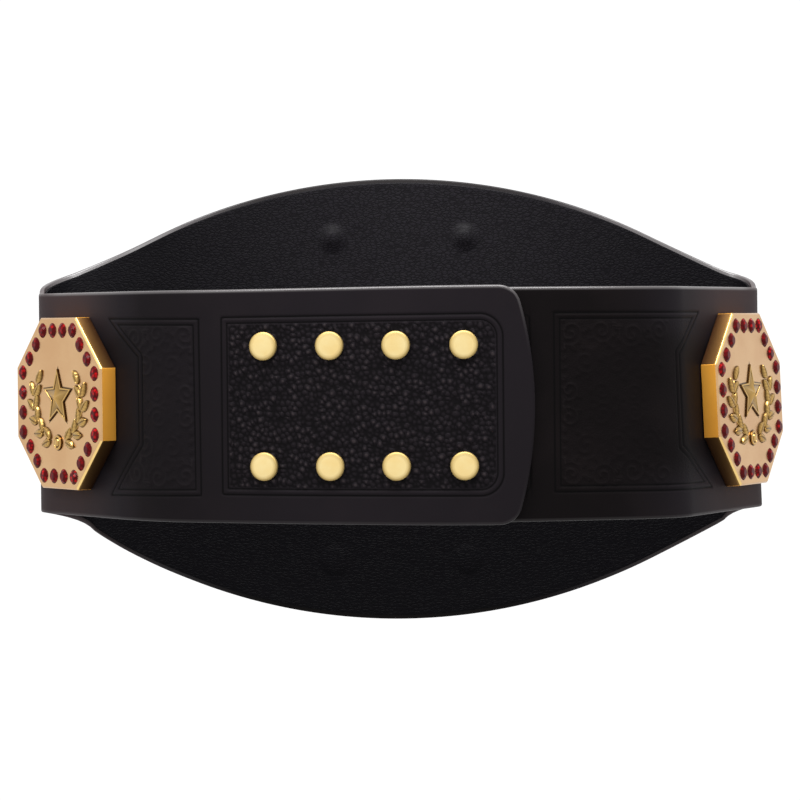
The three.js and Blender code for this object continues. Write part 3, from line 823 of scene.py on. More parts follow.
def leather_sheet(grid, level, tooling, thickness, round_face, round_back, facing=1):
    """The whole solid of a sheet: its points and faces, and its lies and distances from its edge in metres.
    The tooling is each face point's height over the level. The tooled face looks out of the loop, or into it
    where facing is -1."""
    border = grid.border()
    at = np.array([(grid.lengths[place], grid.heights[place]) for place in border])
    ways = np.roll(at, -1, 0) - np.roll(at, 1, 0)
    out_of = np.stack((-ways[:, 1], ways[:, 0]), 1) / np.linalg.norm(ways, axis=1, keepdims=True)
    out_of *= np.sign((out_of * (at - at.mean(0))).sum())
    s, z = grid.places()
    lies = [np.stack((s, z, level(s) + facing * tooling), 1)]
    from_edge = [np.minimum(distance_to(at, s, z) + round_face, EDGE_MEASURE)]
    rings = [np.array([grid.number[place] for place in border])]
    count = len(s)
    for inset, depth in rim_profile(thickness, round_face, round_back):
        ring = at + out_of * (round_face - inset)
        lies.append(np.column_stack((ring, level(ring[:, 0]) - facing * depth)))
        from_edge.append(np.full(len(ring), inset))
        rings.append(np.arange(count, count + len(ring)))
        count += len(ring)
    faces = column_faces(grid.number, grid.column_rows)
    for a, b in zip(rings, rings[1:]):
        faces += [tuple(q) for q in np.stack((a, np.roll(a, -1), np.roll(b, -1), b), 1).tolist()]
    back = np.full(grid.lengths.shape, -1)
    for place, number in zip(border, rings[-1]):
        back[place] = number
    inside = np.zeros(grid.lengths.shape, bool)
    inside[1:-1, grid.back_rows] = True
    back[inside] = np.arange(count, count + inside.sum())
    s, z = grid.lengths[inside], grid.heights[inside]
    lies.append(np.stack((s, z, level(s) - facing * thickness), 1))
    from_edge.append(np.full(len(s), BACK_FROM_EDGE))
    across = [0, *grid.back_rows, grid.lengths.shape[1] - 1]
    back_rows = [grid.column_rows[0], *[across] * (len(grid.column_rows) - 2), grid.column_rows[-1]]
    faces += column_faces(back, back_rows)
    lies = np.concatenate(lies)
    return LOOP.points(*lies.T), faces, lies * MM, np.concatenate(from_edge) * MM


def distance_to(line, s, z):
    """Distance of each place from the closed line of points, capped where it is plainly far away."""
    found = np.full(len(s), float(EDGE_MEASURE))
    near_line = np.interp(s, *outer_height(line)) - np.abs(z) < EDGE_SEARCH
    near_line |= (s < line[:, 0].min() + EDGE_SEARCH) | (s > line[:, 0].max() - EDGE_SEARCH)
    rows = np.flatnonzero(near_line)
    at_once = 2000
    for part in np.array_split(rows, max(1, len(rows) // at_once)):
        gap = np.hypot(s[part, None] - line[None, :, 0], z[part, None] - line[None, :, 1])
        found[part] = gap.min(1)
    return found


def outer_height(line):
    """Lengths along a border and its height there, for its upper half."""
    upper = line[line[:, 1] > 0]
    order = np.argsort(upper[:, 0])
    return upper[order, 0], upper[order, 1]


def spans(start, parts):
    """Lengths from a start, in even steps up to each part's end in turn."""
    lengths = []
    for end, step, *_ in parts:
        count = max(1, round((end - start) / step))
        lengths += [start + (end - start) * k / count for k in range(count)]
        start = end
    return np.array(lengths + [start])


def cut_end(start, heights, tip, half, corner, bow, inset, steps):
    """Columns from a straight section to a cut end with round corners, blended from its four borders."""
    way = 1 if tip > start else -1
    reach = abs(tip - start)
    bow_middle = reach - bow
    corner_u = bow_middle + math.sqrt((bow - corner) ** 2 - (half - corner) ** 2)
    tilt = math.asin((half - corner) / (bow - corner))
    turn = (tilt + math.pi / 2) / 2

    def arc(middle_u, middle_z, radius, start_angle, end_angle):
        return (middle_u, middle_z) + polar(radius, np.linspace(start_angle, end_angle, ARC_POINTS))

    def along(line, share):
        gone = np.concatenate(([0], np.cumsum(np.linalg.norm(np.diff(line, axis=0), axis=1))))
        return np.stack([np.interp(share * gone[-1], gone, line[:, k]) for k in (0, 1)], -1)

    round_corner = (corner_u, half - corner, corner - inset)
    end_line = np.concatenate((arc(bow_middle, 0, bow - inset, 0, tilt), arc(*round_corner, tilt, turn)[1:]))
    top_line = np.concatenate((((0, half - inset),), arc(*round_corner, math.pi / 2, turn)))
    share = heights / (half - inset)
    end = along(end_line, np.abs(share))
    end[:, 1] *= np.sign(share)
    begin = np.stack((np.zeros(len(heights)), heights), 1)
    c = np.arange(1, steps + 1) / steps
    top = along(top_line, c)[:, None]
    bottom = top * (1, -1)
    c, w = c[:, None, None], ((share + 1) / 2)[None, :, None]
    corners = (1 - c) * ((1 - w) * begin[-1] + w * begin[0]) + c * ((1 - w) * end[-1] + w * end[0])
    patch = (1 - c) * begin + c * end + (1 - w) * bottom + w * top - corners
    lengths, high = start + way * patch[..., 0], patch[..., 1]
    return (lengths, high) if way > 0 else (lengths[::-1], high[::-1])


def seen_from_right(x):
    """Length along the loop of the near side's place at x, counted from the front past the right side."""
    return LOOP.near_side(x) - LOOP.length


def row_heights(half, insets, core, core_half):
    """Heights of the rows from top to bottom: near the edges at fixed insets, and spread between."""
    margin = STRAP_HALF_HEIGHT - core_half
    spread = (half - margin) / core_half
    top = half[:, None] - np.array(insets)[None, :]
    return np.concatenate((top, core[None, :] * spread[:, None], -top[:, ::-1]), 1)


def polygon_depth(s, z, corners):
    """How far inside a polygon each place is, below 0 outside it."""
    corners = np.array(corners, float)
    nearest, inside = np.full(s.shape, np.inf), np.zeros(s.shape, bool)
    for a, b in zip(corners, np.roll(corners, -1, 0)):
        side = b - a
        t = np.clip(((s - a[0]) * side[0] + (z - a[1]) * side[1]) / (side @ side), 0, 1)
        nearest = np.minimum(nearest, np.hypot(s - a[0] - t * side[0], z - a[1] - t * side[1]))
        crosses = (a[1] > z) != (b[1] > z)
        with np.errstate(divide="ignore", invalid="ignore"):
            inside ^= crosses & (s < a[0] + side[0] * (z - a[1]) / side[1])
    return np.where(inside, nearest, -nearest)


def rectangle_depth(s, z, left, right, half, corner_left, corner_right):
    """How far inside a rectangle with round corners each place is, below 0 outside it."""
    middle, reach = (left + right) / 2, (right - left) / 2
    corner = np.where(s > middle, corner_right, corner_left)
    across, up = np.abs(s - middle) - reach + corner, np.abs(z) - half + corner
    outside = np.hypot(np.maximum(across, 0), np.maximum(up, 0))
    return corner - outside - np.minimum(np.maximum(across, up), 0)


def flap_depth(s, z):
    """How far inside the flap's panel a place is."""
    panel = FLAP_PANEL
    left, right = LOOP.near_side(panel["left"]), FLAP_TIP - panel["right_from_tip"]
    grown = panel["growth"] * np.clip((s - left) / (right - left), 0, 1)
    middle, half = (panel["top"] + panel["bottom"]) / 2, (panel["top"] - panel["bottom"]) / 2
    z = (z - middle) * half / (half + grown)
    return rectangle_depth(s, z, left, right, half, panel["left_corner"], panel["corner"])


def side_panels():
    """The two side panels' corners as lengths and heights, with where each one's straight side stands."""
    right = [(seen_from_right(x), z) for x, z in RIGHT_PANEL]
    left = [(LOOP.near_side(x), z) for x, z in LEFT_PANEL]
    return (right, right[0][0], 1), (left, left[0][0], -1)


def panel_depth(s, z):
    """How far inside a tooled panel each place is, in millimetres."""
    under_ends = [seen_from_right(UNDER_PANEL[side]) for side in ("left", "right")]
    depth = rectangle_depth(s, z, *under_ends, UNDER_PANEL["half"], 0, 0)
    depth = np.where(s < 0, depth, flap_depth(s, z))
    for corners, _, _ in side_panels():
        depth = np.maximum(depth, polygon_depth(s, z, corners))
    below_edge = lens_half_height(s) - np.abs(z) - FRONT_FRAME["inset"]
    depth = np.maximum(depth, np.minimum(below_edge, FRONT_FRAME["half_length"] - np.abs(s)))
    return np.clip(depth, *PANEL_DEPTHS)


def pebbles(s, z, pitch):
    """Height from 0 to 1 of irregular round pebbles pressed close together."""
    rng = np.random.default_rng(PEBBLES["seed"])
    table, move, upward = PEBBLES["table"], PEBBLES["move"], PEBBLES["upward"]
    moves = rng.uniform(-move, move, (table, table, 2))
    sizes = rng.uniform(*PEBBLES["sizes"], (table, table))
    u, v = s / pitch, z / (pitch * upward) + PEBBLES["low"]
    cell_v = np.floor(v).astype(int)
    first = second = np.full(s.shape, np.inf)
    tall = np.zeros(s.shape)
    for dv in range(-2, 3):
        row = cell_v + dv
        shift = 0.5 * (row % 2)
        cell_u = np.floor(u - shift).astype(int)
        for du in range(-2, 3):
            column = cell_u + du
            i, j = column % table, row % table
            middle_u = column + shift + 0.5 + moves[i, j, 0]
            middle_v = row + 0.5 + moves[i, j, 1]
            gap = np.hypot(u - middle_u, (v - middle_v) * upward) / sizes[i, j]
            closer = gap < first
            second = np.where(closer, first, np.minimum(second, gap))
            tall = np.where(closer, sizes[i, j], tall)
            first = np.minimum(first, gap)
    share = 2 * first / (first + second)
    return np.clip(1 - (share * 1.05) ** 2, 0, 1) * (0.4 + 0.6 * smooth(0.8, 1.15, tall))


def scroll(middle, radius, start, way):
    """Points of a scroll that winds in to its eye."""
    t = np.linspace(0, 1, SCROLL["steps"])
    reach = radius * (1 - t) ** 0.8 + SCROLL["eye"]
    return middle + polar(reach, math.radians(start) + way * 2 * math.pi * SCROLL["turns"] * t)


def leaf_height(a, z, base, angle, size):
    """Height from 0 to 1 of a tooled leaf with a midrib."""
    turn = math.radians(angle)
    u = ((a - base[0]) * math.cos(turn) + (z - base[1]) * math.sin(turn)) / size
    v = ((z - base[1]) * math.cos(turn) - (a - base[0]) * math.sin(turn)) / size
    within = np.clip(u, 0, 1)
    width = 0.27 * np.sin(math.pi * within**0.8) + 1e-6
    rise = smooth(1.05, 0.55, np.abs(v) / width) * ((u > 0) & (u < 1))
    return rise * (1 - 0.75 * np.exp(-((v * size / 0.35) ** 2)))


def carving_leaves():
    """Foot, angle and size of each leaf: some round every scroll, and pairs up the straight side."""
    ring, side = SCROLL_LEAVES, BORDER_LEAVES
    for x, y, radius, start, way in SCROLLS:
        for k in range(ring["count"]):
            angle = start + way * (k * ring["pitch"] + ring["first"])
            foot = (x, y) + polar(radius, math.radians(angle))
            yield foot, angle + way * ring["tilt"], radius * (ring["size"] - ring["loss"] * k)
    for k in range(side["count"]):
        for way in (1, -1):
            foot = (side["from_side"], side["first"] + side["pitch"] * k)
            yield foot, 90 - way * side["tilt"], side["size"]


def carving(a, z):
    """Height from 0 to 1 of scrolls and leaves on a side panel. a is the distance from its straight side."""
    upper = np.abs(z)
    height = np.zeros(a.shape)
    for x, y, radius, start, way in SCROLLS:
        line = scroll((x, y), radius, start, way)
        reach = radius + SCROLL["reach"]
        near = (np.abs(a - x) < reach) & (np.abs(upper - y) < reach)
        gap = np.hypot(a[near, None] - line[None, :, 0], upper[near, None] - line[None, :, 1]).min(1)
        height[near] = np.maximum(height[near], np.exp(-((gap / SCROLL["line"]) ** 2)))
    for foot, angle, size in carving_leaves():
        height = np.maximum(height, leaf_height(a, upper, foot, angle, size))
    return height


def tooled(leather, s, z):
    """Height of the strap's tooling above its face, and how raised each place is, from 0 to 1."""
    depth = panel_depth(s, z)
    band, half = leather.band / MM, leather.groove_width / MM / 2
    height = np.zeros(s.shape)
    for line in (0, band):
        height -= leather.groove_depth / MM * smooth(2 * half, 0, np.abs(depth - line))
    height += BAND_CROWN * smooth(half, band / 2, depth) * smooth(band - half, band / 2, depth)
    raised = np.full(s.shape, PLAIN)
    ground = smooth(band + 0.3, band + 1.2, depth)
    flap = (s > LOOP.near_side(FLAP_PANEL["left"])) & (ground > 0)
    stones = pebbles(s[flap], z[flap], leather.pebble_pitch / MM)
    height[flap] += ground[flap] * (leather.pebble_height / MM * stones - PEBBLED_GROUND)
    raised[flap] = PLAIN + ground[flap] * (stones - PLAIN)
    for corners, straight, way in side_panels():
        inside = (polygon_depth(s, z, corners) > 0) & (ground > 0)
        cut = carving((s[inside] - straight) * way, z[inside])
        cut *= 0.3 + 0.7 * smooth(28, 9, depth[inside])
        height[inside] += ground[inside] * (leather.carving_height / MM * cut - CARVED_GROUND)
        raised[inside] = PLAIN + ground[inside] * (0.45 + 0.25 * cut - PLAIN)
    return height, raised


def from_bends(s):
    """How far each length is from each of the two bends."""
    return [np.abs(s - LOOP.s[bend["row"] * STEPS_PER_ROW]) for bend in BENDS]


def wear_and_sheen_share(s, z):
    """How much the strap is rubbed, with a painted sheen at the bends and painted light on the flap, from 0
    to 1: most at the two bends, some on the flap, least under it, and a little less low down as painted
    shade.
    """
    start, end = CROSSOVER
    slight = WEAR_AND_SHEEN["slight"]
    wear_and_sheen = slight * smooth(start - WEAR_AND_SHEEN["before"], start, s) + slight * smooth(start, end + WEAR_AND_SHEEN["after"], s)
    margin = slight + (1 - slight) * smooth(*WEAR_AND_SHEEN["margins"], np.abs(z))
    for bend, away in zip(BENDS, from_bends(s)):
        wear_and_sheen = np.maximum(wear_and_sheen, margin * smooth(bend["reach"], WEAR_AND_SHEEN["full"], away))
    return wear_and_sheen * (1 - WEAR_AND_SHEEN["loss"] * smooth(*WEAR_AND_SHEEN["lower"], z))


def polish_and_highlight(s, z):
    """How much the strap's edges are burnished and how strong their painted highlight is: most along the
    front's sloping sides, less low down, at the middle of the front and round the bends, and least at the
    flap's tip."""
    upper = 0.2 + 0.8 * smooth(*POLISH_AND_HIGHLIGHT["upper"], z)
    front = smooth(*POLISH_AND_HIGHLIGHT["front"], np.abs(s))
    slopes = (1 - front) * smooth(*POLISH_AND_HIGHLIGHT["slopes_end"], np.abs(s))
    bends = sum(smooth(*POLISH_AND_HIGHLIGHT["bends"], away) for away in from_bends(s))
    start, full = POLISH_AND_HIGHLIGHT["tip"]
    tip = smooth(FLAP_TIP - start, FLAP_TIP - full, s)
    return upper * (0.62 + 0.38 * slopes) * (1 - tip) * (1 - 0.8 * front) * (1 - 0.75 * bends)


def strap_grid(leather):
    """The strap's grid: fine on the flap and the side panels and coarse elsewhere."""
    inset = leather.edge_round / MM
    insets = (inset, *EDGE_ROWS)
    core = np.linspace(1, -1, CORE_ROWS + 2)[1:-1] * CORE_HALF_HEIGHT
    rows = 2 * len(insets) + CORE_ROWS
    middle = range(len(insets), rows - len(insets))
    coarse_middle = middle[COARSE["first"] : -COARSE["first"] : COARSE["step"]]

    def with_edges(near, between):
        return [*near, *between, *(rows - 1 - j for j in reversed(near))]

    fine, coarse = with_edges(LIGHT_EDGE_ROWS, middle), with_edges(range(len(insets)), coarse_middle)
    begin, finish = INNER_END + INNER_CUT["length"], FLAP_TIP - FLAP_CUT["length"]
    parts = [(seen_from_right(x), step, is_fine) for x, step, is_fine in RIGHT_COLUMNS]
    parts += FRONT_COLUMNS
    parts += [(LOOP.near_side(x), step, is_fine) for x, step, is_fine in LEFT_COLUMNS]
    parts.append((finish, FLAP_STEP, True))
    fine_parts = [(low, high) for (low, *_), (high, _, is_fine) in zip([(begin,), *parts], parts) if is_fine]
    s = spans(begin, parts)
    heights = row_heights(strap_half_height(s), insets, core, CORE_HALF_HEIGHT)
    column_rows = [fine if any(low <= x <= high for low, high in fine_parts) else coarse for x in s]
    tip_half = strap_half_height(np.array([finish]))[0]
    tip_shape = tip_half, FLAP_CORNER, FLAP_BOW, inset, FLAP_CUT["columns"]
    tip = cut_end(finish, heights[-1], FLAP_TIP, *tip_shape)
    inner_shape = STRAP_HALF_HEIGHT, INNER_END_CORNER, INNER_END_BOW, inset, INNER_CUT["columns"]
    inner = cut_end(begin, heights[0], INNER_END, *inner_shape)
    lengths = np.concatenate((inner[0], np.repeat(s[:, None], rows, 1), tip[0]))
    heights = np.concatenate((inner[1], heights, tip[1]))
    column_rows = [coarse] * INNER_CUT["columns"] + column_rows + [fine] * FLAP_CUT["columns"]
    return Grid(lengths, heights, column_rows, coarse_middle[::3])


def lining_grid(leather):
    """The lining's grid, as fine all over as its bumps need."""
    s = spans(-LINING_HALF_LENGTH, [(LINING_HALF_LENGTH, LINING_MESH["step"])])
    rows = np.linspace(1, -1, LINING_MESH["rows"])
    inset = leather.lining_thickness / MM * LINING_EASE["face"]
    heights = rows[None, :] * (lens_half_height(s) - LINING_INSET - inset)[:, None]
    lengths = np.repeat(s[:, None], len(rows), 1)
    lengths[0] += inset
    lengths[-1] -= inset
    every, back_step = range(len(rows)), LINING_MESH["back_step"]
    return Grid(lengths, heights, [every] * len(s), every[back_step:-back_step:back_step])


def lining_surface(leather, s, z):
    """How far the lining's face stands up: soft waves, creased grain and the bumps over the screws."""
    waves = LINING_WAVE * np.sin(s / 17 + 1.3 * np.sin(z / 23)) * np.sin(z / 19 + 0.8 * np.sin(s / 31))
    height = waves + 0.08 * (pebbles(s * 0.7, z, 2.2) - 0.5)
    radius, rise = leather.bump_radius / MM, leather.bump_height / MM
    for x, y in MAIN["posts"]:
        gap = np.hypot(s - x, z - y)
        dome = rise * (1 if y > 0 else LOWER_BUMP) * smooth(radius * 1.25, radius * 0.25, gap)
        height += np.maximum(dome, SCREW_COVER * smooth(radius * 1.25, SCREW_RADIUS + 1, gap))
    border = lens_half_height(s) - LINING_INSET - np.abs(z)
    return height * smooth(0.4, 6, border)


# Plates


def wall_frame(x, y, heading, lean, out):
    """The frame of something fixed flat on the wall: x along it, y up the wall, z out of it."""
    along = Vector((*heading_vector(heading), 0))
    outward = along.cross(Vector((0, 0, 1)))
    up = (Vector((0, 0, 1)) - outward * lean).normalized()
    outward = along.cross(up)
    made = Matrix((along, up, outward)).transposed().to_4x4()
    made.translation = Vector((x, y, 0)) + outward * out
    return np.array(made)


def side_frame(name, out):
    """The frame of a side plate, which sits a little above or below half height."""
    x, y, heading, lean, rise = SIDE_PLACES[name]
    made = wall_frame(x, y, heading, lean, out)
    made[:3, 3] += made[:3, 1] * rise
    return made


def frame_on_loop(s, z, out=0):
    """The frame of something fixed at a length and height of the loop."""
    x, y, way_x, way_y, lean = (float(v) for v in LOOP.at(s))
    made = wall_frame(x, y, math.degrees(math.atan2(way_y, way_x)), lean, 0)
    made[:3, 3] = LOOP.points(s, z, out)
    return made


def placed(frame_matrix, points):
    """Points of a frame as points of the belt."""
    return np.asarray(points, float) @ frame_matrix[:3, :3].T + frame_matrix[:3, 3]


class Parts:
    """Points and faces gathered into one piece, with a material number and an amount of painted shade."""

    def __init__(self):
        self.points, self.faces, self.materials, self.painted_shade = [], [], [], []

    def add(self, points, faces, material=0, painted_shade=None):
        """Points and the faces between them, numbered from the first of these points."""
        start = len(self.points)
        self.points += [tuple(p) for p in points]
        self.faces += [tuple(start + k for k in face) for face in faces]
        self.materials += [material] * len(faces)
        self.painted_shade += [0.0] * len(points) if painted_shade is None else list(painted_shade)

    def add_turned(self, profile, sides, material=0, at=(0, 0, 0), painted_shade=None):
        """A round body from (radius, height) pairs, closed where the radius is 0."""
        points, dark, rings = [], [], []
        for (radius, height), shade in zip(profile, painted_shade or [0.0] * len(profile)):
            count = 1 if radius == 0 else sides
            rings.append(range(len(points), len(points) + count))
            circle = polar(radius, 2 * math.pi * np.arange(count) / sides)
            points += [(at[0] + x, at[1] + y, at[2] + height) for x, y in circle]
            dark += [shade] * count
        faces = []
        for a, b in zip(rings, rings[1:]):
            for j in range(sides):
                corners = ((a, j), (a, j + 1), (b, j + 1), (b, j))
                face = tuple(dict.fromkeys(ring[k % len(ring)] for ring, k in corners))
                if len(face) > 2:
                    faces.append(face)
        self.add(points, faces, material, dark)


def octagon_corners(plate, inset):
    """Corners of a plate's outline drawn in by an inset."""
    w, h = plate["half_width"] - inset, plate["half_height"] - inset
    c = plate["cut"] - inset * (2 - math.sqrt(2))
    upper = [Vector(corner) for corner in ((w, c - h), (w, h - c), (w - c, h), (c - w, h))]
    return upper + [-corner for corner in upper]


def octagon(plate, inset):
    """Outline of a plate drawn in by an inset, its corners slightly rounded."""
    corners = octagon_corners(plate, inset)
    back = CORNER_ROUND * math.tan(math.pi / 8)
    points = []
    for before, here, after in zip(corners[-1:] + corners[:-1], corners, corners[1:] + corners[:1]):
        start, end = here + (before - here).normalized() * back, here + (after - here).normalized() * back
        for k in range(CORNER_STEPS):
            t = k / (CORNER_STEPS - 1)
            points.append((1 - t) ** 2 * start + 2 * t * (1 - t) * here + t**2 * end)
    return points


def stone_places(plate):
    """Middles of the stones: one at each corner of the inset octagon and the rest evenly between."""
    corners = octagon_corners(plate, STONE_INSET)
    places = []
    for here, after in zip(corners, corners[1:] + corners[:1]):
        steps = round((after - here).length / plate["stone_pitch"])
        places += [tuple(here.lerp(after, k / steps)) for k in range(steps)]
    return places


def add_plate_sides(parts, plate, chamfer):
    """The plate's back, walls and chamfers, and the outline of its face. Every second side slants."""
    thickness = plate["thickness"]
    wall = thickness - chamfer - FACE_EASE
    # Each row: inset, height, and how much painted shade darkens the slanting walls, most at the leather
    profile = (
        (BACK_EASE, 0, 1),
        (0, BACK_EASE, 1),
        (0, 0.86 * wall, 0.8),
        (0, wall, 0.2),
        (FACE_EASE * 0.7, thickness - chamfer + FACE_EASE * 0.5, 0),
        (chamfer - FACE_EASE * 0.5, thickness - FACE_EASE * 0.7, 0),
        (chamfer + FACE_EASE, thickness, 0),
    )
    rings = [[(x, y, z) for x, y in octagon(plate, inset)] for inset, z, _ in profile]
    count = len(rings[0])
    slants = [(k // CORNER_STEPS) % 2 == 1 and k % CORNER_STEPS == CORNER_STEPS - 1 for k in range(count)]
    for r, (low, high) in enumerate(zip(rings, rings[1:])):
        shade = [profile[r][2]] * count + [profile[r + 1][2]] * count
        on_slant, on_straight = (SLANT, WALL) if profile[r + 1][1] <= wall else (CHAMFER, FACE)
        for slanted, material in ((True, on_slant), (False, on_straight)):
            faces = [face for face, slant in zip(faces_between(2, count, True), slants) if slant == slanted]
            parts.add(low + high, faces, material, shade)
    parts.add(rings[0], [tuple(reversed(range(count)))], WALL)
    return rings[-1]


def add_plate_face(parts, plate, outline, seat):
    """The plate's face, pierced by the stones' seats."""
    places = np.array(stone_places(plate))
    circle = polar(seat, 2 * math.pi * np.arange(SEAT["sides"]) / SEAT["sides"])
    loops = [[Vector(p[:2]) for p in outline], *([Vector(p) for p in place + circle] for place in places)]
    flat = [p for line in loops for p in line]
    edges = []
    for line in loops:
        start = len(edges)
        edges += [(start + k, start + (k + 1) % len(line)) for k in range(len(line))]
    made, _, faces, *_ = delaunay_2d_cdt(flat, edges, [], 1, 1e-6)
    kept = []
    for face in faces:
        middle = sum((made[k] for k in face), Vector((0, 0))) / len(face)
        if np.hypot(places[:, 0] - middle.x, places[:, 1] - middle.y).min() > seat * 0.98:
            kept.append(face)
    parts.add([(p.x, p.y, plate["thickness"]) for p in made], kept, FACE)


def add_plate_body(parts, plate, metal):
    """The cast plate with its chamfer, its face pierced by the stones' seats, and its posts."""
    seat = metal.stone_radius / MM + SEAT["gap"]
    outline = add_plate_sides(parts, plate, metal.chamfer / MM)
    add_plate_face(parts, plate, outline, seat)
    lip, depth = SEAT["lip"], SEAT["depth"]
    rows = ((seat, 0), (seat - SEAT["gap"] / 2, -lip), (seat - SEAT["gap"], -depth), (0, -depth))
    for place in stone_places(plate):
        # Painted shade in each seat, from its lip down, a dark ring round the stone
        parts.add_turned(rows, SEAT["sides"], RELIEF, (*place, plate["thickness"]), (0.1, 1, 1, 1))
    end = -GAP - POST_REACH
    for place in plate["posts"]:
        parts.add_turned(((POST_RADIUS, 0.2), (POST_RADIUS, end), (0, end)), 24, WALL, (*place, 0))


def add_star(parts, plate, scale, rise):
    """A raised star: a thin skirt of painted shadow, a stepped border with painted shade at its foot and in
    its step, then ridges up to its middle.
    """
    angles = np.radians(90 + 36 * np.arange(10))
    middle = (0, STAR["middle"] * scale)
    points, painted_shade = [], []
    for share, height, dark in STAR_ROWS:
        inner = STAR["inner"] * (1 - (1 - share) * 1.25)
        reach = scale * STAR["radius"] * np.tile((share, inner), 5)
        points += [(*p, plate["thickness"] + height * rise) for p in middle + polar(reach, angles)]
        painted_shade += [dark] * 10
    last, top = len(points) - 10, len(points)
    points.append((*middle, plate["thickness"] + STAR["height"] * rise))
    tips = [(last + k, last + (k + 1) % 10, top) for k in range(10)]
    parts.add(points, faces_between(len(STAR_ROWS), 10, True) + tips, RELIEF, [*painted_shade, 0])


def add_leaf(parts, plate, scale, rise, place, turn):
    """A laurel leaf with a ridge along each edge, a sunken midrib and side veins."""
    steps, across = LEAF["steps"], LEAF["across"]
    points, painted_shade = [], []
    for i in range(steps + 1):
        u = i / steps
        width = LEAF["half_width"] * scale * (math.sin(math.pi * u**0.85) ** 0.8 if 0 < u < 1 else 0)
        along = (LEAF["stem"] + 2 * LEAF["half_length"] * u) * scale
        for j in range(across + 1):
            v = -1 + 2 * j / across
            dome = math.sqrt(max(0, 1 - v * v)) * math.sin(math.pi * min(1, 0.12 + 0.8 * u)) ** 0.5
            midrib = math.exp(-((v / 0.18) ** 2))
            vein = (0.5 + 0.5 * math.cos(2 * math.pi * (5 * u - 0.9 * abs(v)))) * (1 - midrib)
            height = LEAF["height"] * rise * (0.35 + 0.75 * dome - 0.3 * midrib - 0.12 * vein)
            edge = abs(v) > 0.99 or i in (0, steps)
            side = v * width * (1.18 if edge else 1)
            x = place[0] + along * math.cos(turn) - side * math.sin(turn)
            y = place[1] + along * math.sin(turn) + side * math.cos(turn)
            points.append((x, y, plate["thickness"] + (SHADOW_SKIRT if edge else height)))
            # Painted shadow at the leaf's rim, where it meets the face, and painted shade in its midrib and
            # veins
            painted_shade.append(1.0 if edge else 0.9 * midrib + 0.4 * vein)
    parts.add(points, faces_between(steps + 1, across + 1), RELIEF, painted_shade)


def add_stem(parts, plate, line, radius):
    """A half-round stem that runs along a line on the plate's face."""
    points, painted_shade, sides = [], [], 6
    for k, (x, y) in enumerate(line):
        after, before = line[min(k + 1, len(line) - 1)], line[max(k - 1, 0)]
        way = Vector((after[0] - before[0], after[1] - before[1])).normalized()
        for j in range(sides + 1):
            angle = math.pi * j / sides
            side, up = radius * math.cos(angle), radius * 1.3 * math.sin(angle)
            points.append((x - way.y * side, y + way.x * side, plate["thickness"] - 0.1 + up))
            # Painted shadow along both feet of the stem
            painted_shade.append(1.0 if j in (0, sides) else 0.1)
    parts.add(points, faces_between(len(line), sides + 1), RELIEF, painted_shade)


def branch_place(side, scale, share):
    """Place and heading on a laurel branch's curve, share 0 at its foot and 1 at its tip."""
    angle = math.radians(BRANCH["start"] + (BRANCH["end"] - BRANCH["start"]) * share)
    wide, high = BRANCH["half_width"] * scale, BRANCH["half_height"] * scale
    heading = math.atan2(high * math.cos(angle), -side * wide * math.sin(angle))
    return (side * wide * math.cos(angle), high * math.sin(angle)), heading


def add_emblem(parts, plate, scale, rise):
    """The star, the two branches with their leaves, and the boss that they rise from."""
    add_star(parts, plate, scale, rise)
    spread, pairs, steps = math.radians(BRANCH["spread"]), BRANCH["pairs"], BRANCH["steps"]
    for side in (1, -1):
        line = [branch_place(side, scale, k / steps)[0] for k in range(steps + 1)]
        add_stem(parts, plate, line, BRANCH["stem_radius"] * scale)
        for k in range(pairs + 1):
            place, heading = branch_place(side, scale, k / pairs)
            for turn in (spread, -spread) if k < pairs else (0,):
                add_leaf(parts, plate, scale, rise, place, heading + turn)
    radius, height = BOSS["radius"] * scale, BOSS["height"] * rise
    rows = [(1.15 * radius, SHADOW_SKIRT), (radius, SHADOW_SKIRT)]
    rows += [(share * radius, level * height) for share, level, _ in BOSS_ROWS]
    # Painted shadow on the boss's skirt and painted shade down its steps
    painted_shade = [0.7, 1, *(dark for *_, dark in BOSS_ROWS)]
    parts.add_turned(rows, 32, RELIEF, (0, -BRANCH["half_height"] * scale, plate["thickness"]), painted_shade)


def stone_points(radius, height):
    """A round cut stone: its table, crown facets, girdle and a shallow cone below."""
    def ring(reach, level, count, turn=0):
        return [(*p, level) for p in polar(reach, 2 * math.pi * (np.arange(count) + turn) / count)]

    top, bottom = STONE["girdle"]
    points = ring(radius * STONE["table"], height, 8)
    points += ring(radius * STONE["crown"], height * STONE["crown_height"], 8, 0.5)
    points += ring(radius, -top, 16) + ring(radius, -bottom, 16) + [(0, 0, -STONE["point"])]
    faces = [tuple(range(8))]
    for k in range(8):
        after, (left, middle, right) = (k + 1) % 8, (16 + (2 * k + j) % 16 for j in range(3))
        faces += [(k, after, 8 + k), (8 + k, after, 8 + after, right)]
        faces += [(8 + k, middle, left), (8 + k, right, middle)]
    for k in range(16):
        after = (k + 1) % 16
        faces += [(16 + k, 16 + after, 32 + after, 32 + k), (32 + k, 32 + after, 48)]
    return points, faces


def plate_piece(name, plate, frame_matrix, emblem, metal, finishes):
    """One cast plate with its emblem."""
    parts = Parts()
    add_plate_body(parts, plate, metal)
    add_emblem(parts, plate, **emblem)
    points = placed(frame_matrix, parts.points)
    values = {"painted_shade": np.array(parts.painted_shade)}
    piece = make_piece(name, points, parts.faces, finishes, values, parts.materials, sharp=28)
    return piece


